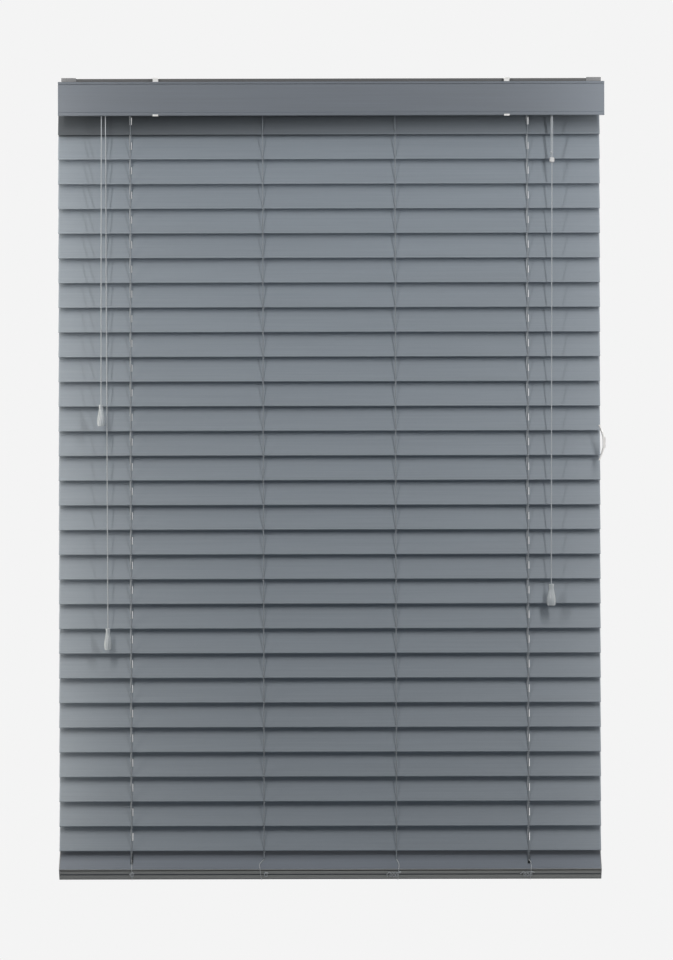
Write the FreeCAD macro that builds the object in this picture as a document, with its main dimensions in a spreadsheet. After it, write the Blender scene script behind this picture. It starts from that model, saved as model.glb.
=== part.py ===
import FreeCAD, Part
import math
import os
import re

import Sketcher
from FreeCAD import Placement, Rotation, Vector

# A 50 mm venetian blind with a cord tilter at the left end and a cord lock at the right end.
# Frame: millimetres, +X along the headrail, +Y towards the window, -Y towards the room, +Z up.
# The origin is the centre of the box brackets' top faces, midway between the two brackets.
# It is drawn fully lowered and closed, with the room-side edge of each slat down.

os.makedirs("parts", exist_ok=True)
doc = FreeCAD.newDocument("VenetianBlind")
sheet = doc.addObject("Spreadsheet::Sheet", "Sizes")

# ---------------------------------------------------------------- driving sizes (mm and degrees)
SIZES = [
    ("seat_gap", 0.3, "clearance wherever one rigid piece sits in another"),
    ("shaft_gap", 0.05, "radial clearance of a shaft in its bearing"),
    ("bracket_span", 915, "outer side of the left bracket to outer side of the right one"),
    ("bracket_width", 25, "box bracket, along the headrail"),
    ("bracket_wall", 1.2, "box bracket sheet"),
    ("bracket_screw_inset", 12.5, "outer side to the line of the top and back screws"),
    ("bracket_screw_step", 30, "the two top screws of one bracket, and the two side screws"),
    ("bracket_back_step", 18, "the two back screws of one bracket, one above the other"),
    ("bracket_hole", 4.5, "screw hole diameter in the brackets"),
    ("headrail_depth", 57, "headrail channel, room side to window side"),
    ("headrail_height", 39.5, "headrail channel"),
    ("headrail_wall", 0.8, "headrail sheet"),
    ("headrail_lip", 7, "lips turned inwards along the top of the channel"),
    ("valance_over", 10, "how much longer the valance is than the brackets' span"),
    ("valance_height", 57.5, "valance board"),
    ("valance_thick", 6, "valance board at its top and bottom beads"),
    ("valance_drop", 7.8, "bracket top down to the valance's top edge"),
    ("valance_gap", 10.5, "headrail's room face to the valance's hidden face"),
    ("top_bead", 3.4, "height of the bead along the valance's top edge"),
    ("bottom_bead", 5, "height of the bead along the valance's bottom edge"),
    ("face_recess", 1, "how far the valance's face lies behind its beads"),
    ("bead_groove", 1.6, "width and depth of the groove under the top bead"),
    ("bead_round", 0.8, "chamfer on the outer edges of the beads"),
    ("clip_width", 9.4, "valance clip"),
    ("clip_sheet", 0.9, "valance clip sheet"),
    ("clip_lip", 2, "how far the clip laps up over the valance's bottom edge"),
    ("clip_hook", 5, "how far the clip reaches over the headrail's lip"),
    ("clip_inset", 160, "bracket's outer side to the middle of a valance clip"),
    ("curtain_shift", -4, "centre of the slats from the centre of the headrail"),
    ("slat_over", 6, "how much longer the slats are than the brackets' span"),
    ("slat_width", 50, "slat"),
    ("slat_thick", 2.8, "slat"),
    ("slat_round", 1.3, "rounding of the slat's long edges"),
    ("slat_pitch", 42, "one slat's axis to the next"),
    ("first_slat_drop", 71.5, "bracket top down to the first slat's axis"),
    ("closed_tilt", 70, "slat angle when closed, either way"),
    ("ladder_inset", 123, "slat's end to the outer ladder"),
    ("rout_length", 16, "rout slot for the lift cord, across the slat"),
    ("rout_width", 4, "rout slot for the lift cord, along the slat"),
    ("ladder_reach", 30, "slat axis to the ladder's string, with the slats open"),
    ("string_thick", 1, "ladder string diameter"),
    ("rung_thick", 0.8, "ladder rung diameter"),
    ("rung_side", 2.8, "how far a rung passes to one side of the lift cord"),
    ("rung_gap", 0.15, "rung to slat"),
    ("rung_reach", 2.5, "ladder string's axis to the end of a rung"),
    ("rung_flat", 48, "straight part of the rung under the slat"),
    ("cord_thick", 1.8, "lift cord and tilt cord diameter"),
    ("rail_width", 50, "bottom rail"),
    ("rail_thick", 25, "bottom rail"),
    ("rail_drop", 46.4, "last slat's axis down to the bottom rail's axis"),
    ("rail_tilt", 40, "bottom rail angle when the slats are closed, either way"),
    ("rail_round", 1.5, "rounding of the bottom rail's long edges"),
    ("rail_groove", 2, "width and depth of the upper groove along the rail's room edge"),
    ("rail_band", 6.6, "plain band between the rail's two grooves"),
    ("rail_cove", 3, "width of the lower, shallow groove along the rail's room edge"),
    ("cap_thick", 1.5, "bottom rail end cap"),
    ("plug_radius", 8, "head of the plug under the bottom rail"),
    ("plug_head", 2, "plug head thickness"),
    ("plug_stem", 5, "plug stem radius"),
    ("plug_depth", 5.6, "plug stem length inside the rail"),
    ("knot_radius", 2.1, "knot on the end of the lift cord"),
    ("rod_width", 5, "square tilt rod across its flats"),
    ("rod_drop", 19.4, "bracket top down to the tilt rod's axis"),
    ("rod_overhang", 8, "how far the tilt rod passes the tilter and the last drum"),
    ("journal_radius", 4.6, "round necks of the gear and the drums"),
    ("drum_barrel", 11.2, "ladder drum barrel radius"),
    ("string_wrap", 12, "radius at which the ladder strings leave the drum"),
    ("drum_flange", 13.6, "ladder drum flange radius"),
    ("drum_width", 8, "ladder drum between its flanges"),
    ("flange_thick", 1.2, "ladder drum flange"),
    ("cradle_wall", 2, "drum cradle uprights"),
    ("cradle_base", 1.5, "drum cradle base plate"),
    ("cradle_depth", 34, "drum cradle, room side to window side"),
    ("cradle_top", 6, "height of the cradle's uprights above the rod's axis"),
    ("floor_hole", 30, "opening in the headrail's floor for a ladder, room side to window side"),
    ("floor_hole_width", 8, "the same opening along the headrail"),
    ("cord_run", 36, "bracket top down to the lift cords inside the headrail"),
    ("cord_side_step", 6, "how far the long lift cord moves aside to pass the short one"),
    ("cord_bend", 4, "radius of the lift cords where they enter the headrail"),
    ("lock_bend", 5, "radius of the lift cords in the cord lock"),
    ("tilter_inset", 71.5, "left bracket's outer side to the tilter"),
    ("gear_teeth", 24, "tilt gear teeth"),
    ("gear_module", 0.8, "tilt gear module"),
    ("gear_width", 6, "tilt gear"),
    ("tooth_share", 0.36, "width of a gear tooth as a share of its pitch, at the pitch circle"),
    ("thread_share", 0.24, "width of the worm's thread as a share of its pitch"),
    ("worm_radius", 4, "worm pitch radius"),
    ("worm_core", 2.9, "worm shaft radius"),
    ("worm_turns", 6, "turns of thread on the worm, an even number"),
    ("flank_angle", 14.5, "slope of the tooth and thread flanks"),
    ("pulley_cord_radius", 3.36, "pulley axis to the middle of the tilt cord"),
    ("pulley_flange", 4.9, "pulley flange radius"),
    ("pulley_width", 3.4, "pulley groove"),
    ("pulley_rim", 0.8, "pulley flange thickness"),
    ("tilter_width", 26, "tilter housing along the headrail"),
    ("tilter_wall", 2, "tilter housing wall"),
    ("tilter_floor", 1.6, "tilter housing floor"),
    ("tilter_back", 20, "rod axis to the housing's window-side face"),
    ("nose_width", 14.4, "tilter nose in front of the headrail"),
    ("nose_wall", 1, "tilter nose wall"),
    ("cord_clear", 6, "headrail's room face to the middle of the hanging cords"),
    ("lock_inset", 83.5, "right bracket's outer side to the cord lock"),
    ("lock_width", 26, "cord lock along the headrail"),
    ("lock_height", 24, "cord lock body"),
    ("lock_back", 10, "headrail centre line to the lock's window-side face"),
    ("lock_wall", 2, "cord lock walls"),
    ("lock_throat", 9, "width of the cord lock's throat"),
    ("pawl_radius", 6.2, "toothed sector of the pawl"),
    ("pawl_pin", 1.5, "pawl pivot radius"),
    ("pawl_inset", 11.5, "headrail's room face to the pawl's pivot, inwards"),
    ("lift_cord_step", 2.2, "the two lift cords side by side"),
    ("connector_drop", 136, "bracket top down to the cord connector's top"),
    ("connector_length", 9, "cord connector"),
    ("connector_radius", 4.4, "cord connector"),
    ("tassel_length", 37, "tassel"),
    ("tassel_neck", 4.3, "tassel neck radius"),
    ("tassel_belly", 6.8, "tassel largest radius"),
    ("tassel_foot", 5.8, "tassel radius at its flat end"),
    ("tassel_bore", 1.3, "cord hole in the tassel, radius"),
    ("tassel_wall", 1.2, "tassel wall around its hollow foot"),
    ("lift_tassel_swell", 1.22, "the lift tassel's width against a tilt tassel's"),
    ("belly_share", 0.72, "where a tassel is widest, as a share of its length"),
    ("bend_share", 0.97, "cord bend over a drum or pulley, as a share of the wrap radius"),
    ("gentle_bend", 400, "radius of the slight bend where a cord hangs a little aslant"),
    ("short_tassel_drop", 554, "bracket top down to the short tilt cord's tassel"),
    ("tassel_step", 379, "from one tilt tassel down to the other"),
    ("short_cord_drift", -2.2, "sideways drift of the short tilt cord down to its tassel"),
    ("short_cord_step", 9, "how much nearer the room the short tilt cord hangs, to pass the long one"),
    ("long_cord_drift", 2.5, "sideways drift of the long tilt cord down to its tassel"),
    ("lift_tassel_drop", 859, "bracket top down to the lift cord's tassel"),
    ("lift_cord_drift", -2.5, "sideways drift of the pull cord down to its tassel"),
    ("reveal_gap", 0.5, "end of the valance to the side wall that carries the cleat"),
    ("cleat_drop", 620, "bracket top down to the cleat's centre"),
    ("cleat_front", 47, "headrail centre line to the cleat's centre line, room side"),
    ("cleat_length", 60, "cleat over its two horns"),
    ("cleat_base", 18, "length of the cleat's base on the wall"),
    ("cleat_width", 11, "width of the cleat's base"),
    ("cleat_rise", 12, "how far the horns stand off the wall"),
    ("horn_root", 3.8, "horn thickness where it leaves the base"),
    ("horn_tip", 2.6, "horn thickness at its tip"),
    ("cleat_hole", 3.2, "screw hole diameter in the cleat"),
    ("cleat_screw_step", 9, "the cleat's two screws, one above the other"),
]
SLATS = 30

for row, (alias, value, meaning) in enumerate(SIZES, start=1):
    sheet.set("A%d" % row, meaning)
    sheet.set("B%d" % row, str(value))
    sheet.setAlias("B%d" % row, alias)
doc.recompute()

WORD = re.compile(r"\b(%s)\b" % "|".join(alias for alias, _, _ in SIZES))


class Numbers:
    """The sheet's cells as plain numbers, for the shapes that are worked out in this script."""

    def __getattr__(self, alias):
        return float(getattr(sheet, alias))


mm = Numbers()

# ---------------------------------------------------------------- places shared by several pieces
# Each is an expression on the sheet, so that every piece that meets it moves with it.
HEADRAIL_TOP = "(-bracket_wall - seat_gap)"
HEADRAIL_BOTTOM = "(-bracket_wall - seat_gap - headrail_height)"
HEADRAIL_FLOOR = "(-bracket_wall - seat_gap - headrail_height + headrail_wall)"
HEADRAIL_INSIDE = "(headrail_depth / 2 - headrail_wall)"
BRACKET_INSIDE = "(headrail_depth / 2 + seat_gap)"
BRACKET_OUTSIDE = "(headrail_depth / 2 + seat_gap + bracket_wall)"
BRACKET_BOTTOM = "(-2 * bracket_wall - 2 * seat_gap - headrail_height)"
VALANCE_BACK = "(-headrail_depth / 2 - valance_gap)"
VALANCE_FRONT = "(%s - valance_thick)" % VALANCE_BACK
VALANCE_TOP = "(-valance_drop)"
VALANCE_BOTTOM = "(-valance_drop - valance_height)"
RAIL_Z = "(-first_slat_drop - %d * slat_pitch - rail_drop)" % (SLATS - 1)
CORD_Y = "(-headrail_depth / 2 - cord_clear)"
PAWL_Y = "(pawl_inset - headrail_depth / 2)"
WORM_Z = "(-rod_drop - gear_teeth * gear_module / 2 - worm_radius)"
STRING_Y = "(ladder_reach * cos(closed_tilt))"
STRING_RISE = "(ladder_reach * sin(closed_tilt))"
VALANCE_LENGTH = "(bracket_span + valance_over)"
SLAT_LENGTH = "(bracket_span + slat_over)"
OUTER_LADDER = "(%s / 2 - ladder_inset)" % SLAT_LENGTH
LADDERS = ["-" + OUTER_LADDER, "-%s / 3" % OUTER_LADDER, "%s / 3" % OUTER_LADDER, OUTER_LADDER]
TILTER_X = "(tilter_inset - bracket_span / 2)"
LOCK_X = "(bracket_span / 2 - lock_inset)"
CLIP_X = "(bracket_span / 2 - clip_inset)"
REVEAL_X = "(%s / 2 + reveal_gap)" % VALANCE_LENGTH
LIFTED = [LADDERS[0], LADDERS[3]]


def bind(thing, prop, text):
    """Ties one property to an expression written with the sheet's aliases."""
    thing.setExpression(prop, WORD.sub(r"Sizes.\1", text))


def value(text):
    """The same expression worked out now, for the shapes that this script computes itself."""
    return float(sheet.evalExpression(text))


def place(thing, x="0", y="0", z="0", axis=None, angle=None):
    """Binds a placement; axis is the unit vector that angle (an expression, degrees) turns about."""
    if axis is not None:
        thing.Placement = Placement(Vector(), Rotation(axis, 1))
        bind(thing, "Placement.Rotation.Angle", angle)
    for prop, text in (("x", x), ("y", y), ("z", z)):
        bind(thing, "Placement.Base." + prop, text)
    return thing


def box(name, x, y, z):
    """A Part::Box from three (low, high) pairs of expressions."""
    block = doc.addObject("Part::Box", name)
    for prop, (low, high) in (("Length", x), ("Width", y), ("Height", z)):
        bind(block, prop, "(%s) - (%s)" % (high, low))
    return place(block, x[0], y[0], z[0])


def cylinder(name, radius, length, start, along):
    """A Part::Cylinder from start, a triple of expressions, along one of the axes X, Y or Z."""
    turn = {"X": (Vector(0, 1, 0), "90"), "Y": (Vector(1, 0, 0), "-90"), "Z": (None, None)}[along]
    bar = doc.addObject("Part::Cylinder", name)
    bind(bar, "Radius", radius)
    bind(bar, "Height", length)
    return place(bar, *start, *turn)


def fuse(name, pieces):
    joined = doc.addObject("Part::MultiFuse", name)
    joined.Shapes = pieces
    joined.Refine = True
    return joined


def cut(name, base, tools):
    trimmed = doc.addObject("Part::Cut", name)
    trimmed.Base = base
    trimmed.Tool = tools[0] if len(tools) == 1 else fuse(name + "_tools", tools)
    return trimmed


def group(name, pieces):
    """Separate solids held in one object."""
    together = doc.addObject("Part::Compound", name)
    together.Links = pieces
    return together


def body(name):
    return doc.addObject("PartDesign::Body", name)


def plane(owner, role):
    return next(f for f in owner.Origin.OriginFeatures if f.Role == role)


def outline(owner, name, role, points):
    """A closed sketch of straight edges through points, each a pair of expressions."""
    sketch = owner.newObject("Sketcher::SketchObject", name)
    sketch.AttachmentSupport = [(plane(owner, role), "")]
    sketch.MapMode = "FlatFace"
    count = len(points)
    turn = 2 * math.pi / count
    guess = [Vector(10 + 5 * math.cos(turn * i), 10 + 5 * math.sin(turn * i), 0) for i in range(count)]
    for i in range(count):
        sketch.addGeometry(Part.LineSegment(guess[i], guess[(i + 1) % count]), False)
    for i in range(count):
        sketch.addConstraint(Sketcher.Constraint("Coincident", i, 2, (i + 1) % count, 1))
    for i, (across, up) in enumerate(points):
        for kind, text, start in (("DistanceX", across, guess[i].x), ("DistanceY", up, guess[i].y)):
            if text == "0":
                axis = -2 if kind == "DistanceX" else -1
                sketch.addConstraint(Sketcher.Constraint("PointOnObject", i, 1, axis))
                continue
            number = sketch.addConstraint(Sketcher.Constraint(kind, -1, 1, i, 1, start))
            bind(sketch, "Constraints[%d]" % number, text)
    return sketch


def pad(owner, name, sketch, length, both_ways=True):
    feature = owner.newObject("PartDesign::Pad", name)
    feature.Profile = sketch
    feature.SideType = "Symmetric" if both_ways else "One side"
    bind(feature, "Length", length)
    return feature


def pocket(owner, name, sketch, reverse=False):
    feature = owner.newObject("PartDesign::Pocket", name)
    feature.Profile = sketch
    feature.Type = "ThroughAll"
    feature.SideType = "Symmetric"
    feature.Reversed = reverse
    return feature


def revolve(owner, name, sketch, axis):
    feature = owner.newObject("PartDesign::Revolution", name)
    feature.Profile = sketch
    feature.ReferenceAxis = (sketch, [axis])
    feature.Angle = 360
    return feature


def round_long_edges(owner, name, feature, radius, keep):
    """Fillets the edges along X that keep(y, z) picks."""
    doc.recompute()
    names = []
    for number, edge in enumerate(feature.Shape.Edges, start=1):
        first, last = edge.Vertexes[0].Point, edge.Vertexes[-1].Point
        along = abs(last.x - first.x) > 0.9 * feature.Shape.BoundBox.XLength
        if along and keep(first.y, first.z):
            names.append("Edge%d" % number)
    fillet = owner.newObject("PartDesign::Fillet", name)
    fillet.Base = (feature, names)
    bind(fillet, "Radius", radius)
    return fillet


def rectangle(low_x, high_x, low_y, high_y):
    return [(low_x, low_y), (high_x, low_y), (high_x, high_y), (low_x, high_y)]


def tube(points, radii, thick):
    """A round cord along straight runs joined by tangent arcs; radii has one entry per inner point."""
    edges = []
    last = points[0]
    for before, corner, after, radius in zip(points, points[1:], points[2:], radii):
        into = (corner - before).normalize()
        out = (after - corner).normalize()
        turn = into.getAngle(out)
        reach = radius * math.tan(turn / 2)
        start, end = corner - into * reach, corner + out * reach
        middle = corner + (out - into).normalize() * (radius / math.cos(turn / 2) - radius)
        edges.append(Part.LineSegment(last, start).toShape())
        edges.append(Part.Arc(start, middle, end).toShape())
        last = end
    edges.append(Part.LineSegment(last, points[-1]).toShape())
    path = Part.Wire(edges)
    first = (points[1] - points[0]).normalize()
    ring = Part.Wire([Part.Circle(points[0], first, thick / 2).toShape()])
    solid = path.makePipeShell([ring], True, False)
    expected = math.pi * (thick / 2) ** 2 * path.Length
    if abs(solid.Volume - expected) > 0.01 * expected:
        raise RuntimeError("a cord's volume is %.2f, not %.2f" % (solid.Volume, expected))
    return solid


def feature_of(name, shapes):
    """A Part::Feature for shapes that the script works out itself."""
    thing = doc.addObject("Part::Feature", name)
    thing.Shape = shapes[0] if len(shapes) == 1 else Part.makeCompound(shapes)
    return thing


NODES = []


def node(thing, label):
    """Gives a finished sub-part the label that names its file."""
    thing.Label = label
    NODES.append(thing)
    return thing


ACROSS = Vector(1, 0, 0)


def slat_height(number):
    """The height of one slat's axis, counted from 0 at the top."""
    return "-first_slat_drop - %d * slat_pitch" % number


# ---------------------------------------------------------------- headrail
# A sheet channel, open at the top, with a hole in its floor at each ladder and two holes in its
# room-side wall: one for the tilter's nose and one for the cord lock's lip.
channel = body("Channel")
channel_section = outline(channel, "ChannelSection", "YZ_Plane", [
    ("-headrail_depth / 2", HEADRAIL_TOP),
    ("-headrail_depth / 2", HEADRAIL_BOTTOM),
    ("headrail_depth / 2", HEADRAIL_BOTTOM),
    ("headrail_depth / 2", HEADRAIL_TOP),
    ("headrail_depth / 2 - headrail_lip", HEADRAIL_TOP),
    ("headrail_depth / 2 - headrail_lip", HEADRAIL_TOP + " - headrail_wall"),
    (HEADRAIL_INSIDE, HEADRAIL_TOP + " - headrail_wall"),
    (HEADRAIL_INSIDE, HEADRAIL_FLOOR),
    ("-" + HEADRAIL_INSIDE, HEADRAIL_FLOOR),
    ("-" + HEADRAIL_INSIDE, HEADRAIL_TOP + " - headrail_wall"),
    ("headrail_lip - headrail_depth / 2", HEADRAIL_TOP + " - headrail_wall"),
    ("headrail_lip - headrail_depth / 2", HEADRAIL_TOP),
])
pad(channel, "ChannelSheet", channel_section, "bracket_span - 2 * bracket_wall - 2 * seat_gap")

NOSE_TOP = "(%s + pulley_flange + seat_gap + nose_wall)" % WORM_Z
LIP_HALF = "(lock_throat / 2 + lock_wall / 2)"
LOCK_OPENING_TOP = "(-cord_run + lock_bend)"
FLOOR_CUT = (HEADRAIL_BOTTOM + " - 1", HEADRAIL_FLOOR + " + 1")
FRONT_CUT = ("-headrail_depth / 2 - 1", "-" + HEADRAIL_INSIDE + " + 1")
openings = []
for number, ladder in enumerate(LADDERS, start=1):
    openings.append(box(
        "LadderHole%d" % number,
        ("curtain_shift + %s - floor_hole_width / 2" % ladder,
         "curtain_shift + %s + floor_hole_width / 2" % ladder),
        ("-floor_hole / 2", "floor_hole / 2"),
        FLOOR_CUT,
    ))
openings.append(box(
    "NoseOpening",
    (TILTER_X + " - nose_width / 2 - seat_gap", TILTER_X + " + nose_width / 2 + seat_gap"),
    FRONT_CUT,
    (HEADRAIL_FLOOR, NOSE_TOP + " + seat_gap"),
))
openings.append(box(
    "LipOpening",
    ("%s - %s - seat_gap" % (LOCK_X, LIP_HALF), "%s + %s + seat_gap" % (LOCK_X, LIP_HALF)),
    FRONT_CUT,
    (HEADRAIL_FLOOR, LOCK_OPENING_TOP),
))
node(cut("Headrail", channel, openings), "headrail")


# ---------------------------------------------------------------- box brackets and their gates
def screw_hole(name, start, length, along):
    return cylinder(name, "bracket_hole / 2", length, start, along)


def sorted_pair(pair, sign):
    """Puts an outer and an inner place in order along X, for the left (-1) or the right (1) side."""
    return pair if sign == "-1" else (pair[1], pair[0])


def box_bracket(side, sign):
    """A bracket folded from sheet: it holds the headrail's end and is open to the room."""
    outer = ("%s * bracket_span / 2" % sign, "%s * (bracket_span / 2 - bracket_width)" % sign)
    low_x, high_x = sorted_pair(outer, sign)
    shell = box(
        side + "Shell",
        (low_x, high_x),
        ("-" + BRACKET_INSIDE, BRACKET_OUTSIDE),
        (BRACKET_BOTTOM, "0"),
    )
    inner_wall = "%s * (bracket_span / 2 - bracket_wall)" % sign
    beyond = "%s * (bracket_span / 2 - bracket_width - 1)" % sign
    hollow_x = sorted_pair((inner_wall, beyond), sign)
    tools = [box(
        side + "Hollow",
        hollow_x,
        ("-" + BRACKET_INSIDE + " - 1", BRACKET_INSIDE),
        (BRACKET_BOTTOM + " + bracket_wall", "-bracket_wall"),
    )]
    line_x = "%s * (bracket_span / 2 - bracket_screw_inset)" % sign
    for number, half in enumerate(("-", ""), start=1):
        tools.append(screw_hole(
            "%sTopHole%d" % (side, number),
            (line_x, half + "bracket_screw_step / 2", "-bracket_wall - 1"),
            "bracket_wall + 2",
            "Z",
        ))
        tools.append(screw_hole(
            "%sSideHole%d" % (side, number),
            (low_x if sign == "-1" else inner_wall + " - 1",
             half + "bracket_screw_step / 2",
             BRACKET_BOTTOM + " / 2"),
            "bracket_wall + 1",
            "X",
        ))
        tools.append(screw_hole(
            "%sBackHole%d" % (side, number),
            (line_x, BRACKET_INSIDE + " - 1", "%s / 2 + %sbracket_back_step / 2" % (BRACKET_BOTTOM, half)),
            "bracket_wall + 2",
            "Y",
        ))
    return node(cut(side + "BoxBracket", shell, tools), "box_bracket_" + side.lower())


def bracket_gate(side, sign):
    """The flat gate that closes a bracket's room side, with a lug that snaps inside its wall."""
    plate = box(
        side + "GatePlate",
        sorted_pair(("%s * bracket_span / 2" % sign, "%s * (bracket_span / 2 - bracket_width)" % sign),
                    sign),
        ("-" + BRACKET_OUTSIDE, "-" + BRACKET_INSIDE),
        (BRACKET_BOTTOM, "0"),
    )
    tab = box(
        side + "GateTab",
        sorted_pair(("%s * (bracket_span / 2 - bracket_width / 3)" % sign,
                     "%s * (bracket_span / 2 - 2 * bracket_width / 3)" % sign), sign),
        ("-%s - 2 * bracket_wall" % BRACKET_OUTSIDE, "-" + BRACKET_OUTSIDE),
        (BRACKET_BOTTOM, BRACKET_BOTTOM + " + bracket_wall"),
    )
    return fuse(side + "Gate", [plate, tab])


box_bracket("Left", "-1")
box_bracket("Right", "1")
gates = [bracket_gate("Left", "-1"), bracket_gate("Right", "1")]
node(group("BracketGates", gates), "bracket_gates")

# ---------------------------------------------------------------- valance and its clips
# The board has a bead along its top and bottom edges, and a groove under the top bead.
FACE = VALANCE_FRONT + " + face_recess"
valance = body("Valance")
valance_section = outline(valance, "ValanceSection", "YZ_Plane", [
    (VALANCE_BACK, VALANCE_BOTTOM),
    (VALANCE_FRONT + " + bead_round", VALANCE_BOTTOM),
    (VALANCE_FRONT, VALANCE_BOTTOM + " + bead_round"),
    (VALANCE_FRONT, VALANCE_BOTTOM + " + bottom_bead"),
    (FACE, VALANCE_BOTTOM + " + bottom_bead + face_recess"),
    (FACE, VALANCE_TOP + " - top_bead - bead_groove"),
    (FACE + " + bead_groove", VALANCE_TOP + " - top_bead - bead_groove"),
    (FACE + " + bead_groove", VALANCE_TOP + " - top_bead"),
    (VALANCE_FRONT, VALANCE_TOP + " - top_bead"),
    (VALANCE_FRONT, VALANCE_TOP + " - bead_round"),
    (VALANCE_FRONT + " + bead_round", VALANCE_TOP),
    (VALANCE_BACK, VALANCE_TOP),
])
pad(valance, "ValanceBoard", valance_section, VALANCE_LENGTH)
node(valance, "valance")

CLIP_TOP = "(-clip_sheet * 0.5)"
clip = body("Clip")
clip_section = outline(clip, "ClipSection", "YZ_Plane", [
    (VALANCE_BACK, VALANCE_BOTTOM),
    (VALANCE_FRONT, VALANCE_BOTTOM),
    (VALANCE_FRONT, VALANCE_BOTTOM + " + clip_lip"),
    (VALANCE_FRONT + " - clip_sheet", VALANCE_BOTTOM + " + clip_lip"),
    (VALANCE_FRONT + " - clip_sheet", VALANCE_BOTTOM + " - clip_sheet"),
    ("clip_sheet + " + VALANCE_BACK, VALANCE_BOTTOM + " - clip_sheet"),
    ("clip_sheet + " + VALANCE_BACK, HEADRAIL_TOP),
    ("clip_hook - headrail_depth / 2", HEADRAIL_TOP),
    ("clip_hook - headrail_depth / 2", CLIP_TOP),
    (VALANCE_BACK, CLIP_TOP),
])
pad(clip, "ClipSheet", clip_section, "clip_width")
clips = []
for name, sign in (("LeftClip", "-1"), ("RightClip", "1")):
    clips.append(place(group(name, [clip]), "%s * %s" % (sign, CLIP_X)))
node(group("ValanceClips", clips), "valance_clips")

# ---------------------------------------------------------------- slats
slat_blank = body("SlatBlank")
slat_section = outline(slat_blank, "SlatSection", "YZ_Plane", rectangle(
    "-slat_width / 2", "slat_width / 2", "-slat_thick / 2", "slat_thick / 2"))
slat_board = pad(slat_blank, "SlatBoard", slat_section, SLAT_LENGTH)
round_long_edges(slat_blank, "SlatEdges", slat_board, "min(slat_round; slat_thick * 0.46)",
                 lambda y, z: True)


def rout_slot(name, ladder):
    """The slot for the lift cord: a straight middle with a round end at each side of the slat."""
    half = "(rout_length / 2 - rout_width / 2)"
    low, tall = "-slat_thick / 2 - 1", "slat_thick + 2"
    middle = box(
        name + "Middle",
        (ladder + " - rout_width / 2", ladder + " + rout_width / 2"),
        ("-" + half, half),
        (low, "slat_thick / 2 + 1"),
    )
    ends = [
        cylinder(name + "End%d" % number, "rout_width / 2", tall, (ladder, sign + half, low), "Z")
        for number, sign in enumerate(("-", ""), start=1)
    ]
    return [middle] + ends


slots = rout_slot("LeftSlot", LIFTED[0]) + rout_slot("RightSlot", LIFTED[1])
slat = cut("RoutedSlat", slat_blank, slots)
for number in range(SLATS):
    one = place(group("Slat%02d" % (number + 1), [slat]), "curtain_shift", "0", slat_height(number),
                ACROSS, "closed_tilt")
    node(one, "slat_%02d" % (number + 1))

# ---------------------------------------------------------------- ladders
# Each ladder has a string along each edge of the slats and a rung under every slat. Where a lift
# cord passes, the rungs go by on alternate sides of it.
FRONT_TOP = "(-first_slat_drop - %s)" % STRING_RISE
BACK_TOP = "(-first_slat_drop + %s)" % STRING_RISE
STRING_END = (
    "(%s - (%s - string_thick / 2) * tan(rail_tilt)"
    " + (rail_thick / 2 + string_thick + rung_gap + seat_gap) / cos(rail_tilt))" % (RAIL_Z, STRING_Y)
)


def strings(name, across, top, bottom):
    return group(name, [
        cylinder(
            "%s%d" % (name, number),
            "string_thick / 2",
            "%s - %s" % (top, bottom),
            ("curtain_shift + " + ladder, across, bottom),
            "Z",
        )
        for number, ladder in enumerate(LADDERS, start=1)
    ])


node(strings("FrontStrings", "-" + STRING_Y, FRONT_TOP, STRING_END), "ladder_front_strings")
node(strings("BackStrings", STRING_Y, BACK_TOP, "(%s + 2 * %s)" % (STRING_END, STRING_RISE)),
     "ladder_back_strings")


def rung(side):
    """One rung in the slat's own frame: flat under the slat and up to the string at each edge."""
    drop = mm.slat_thick / 2 + mm.rung_thick / 2 + mm.rung_gap
    inner = [Vector(side * mm.rung_side, sign * mm.rung_flat / 2, -drop) for sign in (-1, 1)]
    ends = []
    for corner, sign in zip(inner, (-1, 1)):
        knot = Vector(0, sign * mm.ladder_reach, 0)
        ends.append(knot + (corner - knot).normalize() * mm.rung_reach)
    bend = 4 * mm.rung_thick
    return tube([ends[0], inner[0], inner[1], ends[1]], [bend, bend], mm.rung_thick)


rung_sides = [feature_of("RungRight", [rung(1)]), feature_of("RungLeft", [rung(-1)])]
rung_rows = []
for turn in (0, 1):
    row = []
    for number, ladder in enumerate(LADDERS):
        copy = group("Rung%d%d" % (turn, number), [rung_sides[(number + turn) % 2]])
        row.append(place(copy, ladder))
    rung_rows.append(group("RungRow%d" % turn, row))
rungs = [
    place(group("Rungs%02d" % (number + 1), [rung_rows[number % 2]]), "curtain_shift", "0",
          slat_height(number), ACROSS, "closed_tilt")
    for number in range(SLATS)
]
node(group("LadderRungs", rungs), "ladder_rungs")

# ---------------------------------------------------------------- ends of the ladder strings
# Above, one string runs over each drum and down to both edges of the first slat. Below, each
# string laps round the bottom rail and ends at its plug.
string_y, string_rise = value(STRING_Y), value(STRING_RISE)
rail_angle = math.radians(mm.rail_tilt)
rail_z = value(RAIL_Z)
ladder_x = [value("curtain_shift + " + ladder) for ladder in LADDERS]


def rail_point(x, across, up):
    """A point of the bottom rail's own section, turned to the rail's tilt."""
    turned_y = across * math.cos(rail_angle) - up * math.sin(rail_angle)
    turned_z = across * math.sin(rail_angle) + up * math.cos(rail_angle)
    return Vector(x, turned_y, rail_z + turned_z)


def drum_corner(x, side, end):
    """Where the tangent from a string's end up to the drum meets the line over the drum's top."""
    drop = -mm.rod_drop - end
    lean = math.asin(mm.string_wrap / math.hypot(string_y, drop)) - math.atan2(string_y, drop)
    across = string_y + (drop + mm.string_wrap) * math.tan(lean)
    return Vector(x, side * across, mm.string_wrap - mm.rod_drop)


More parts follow.
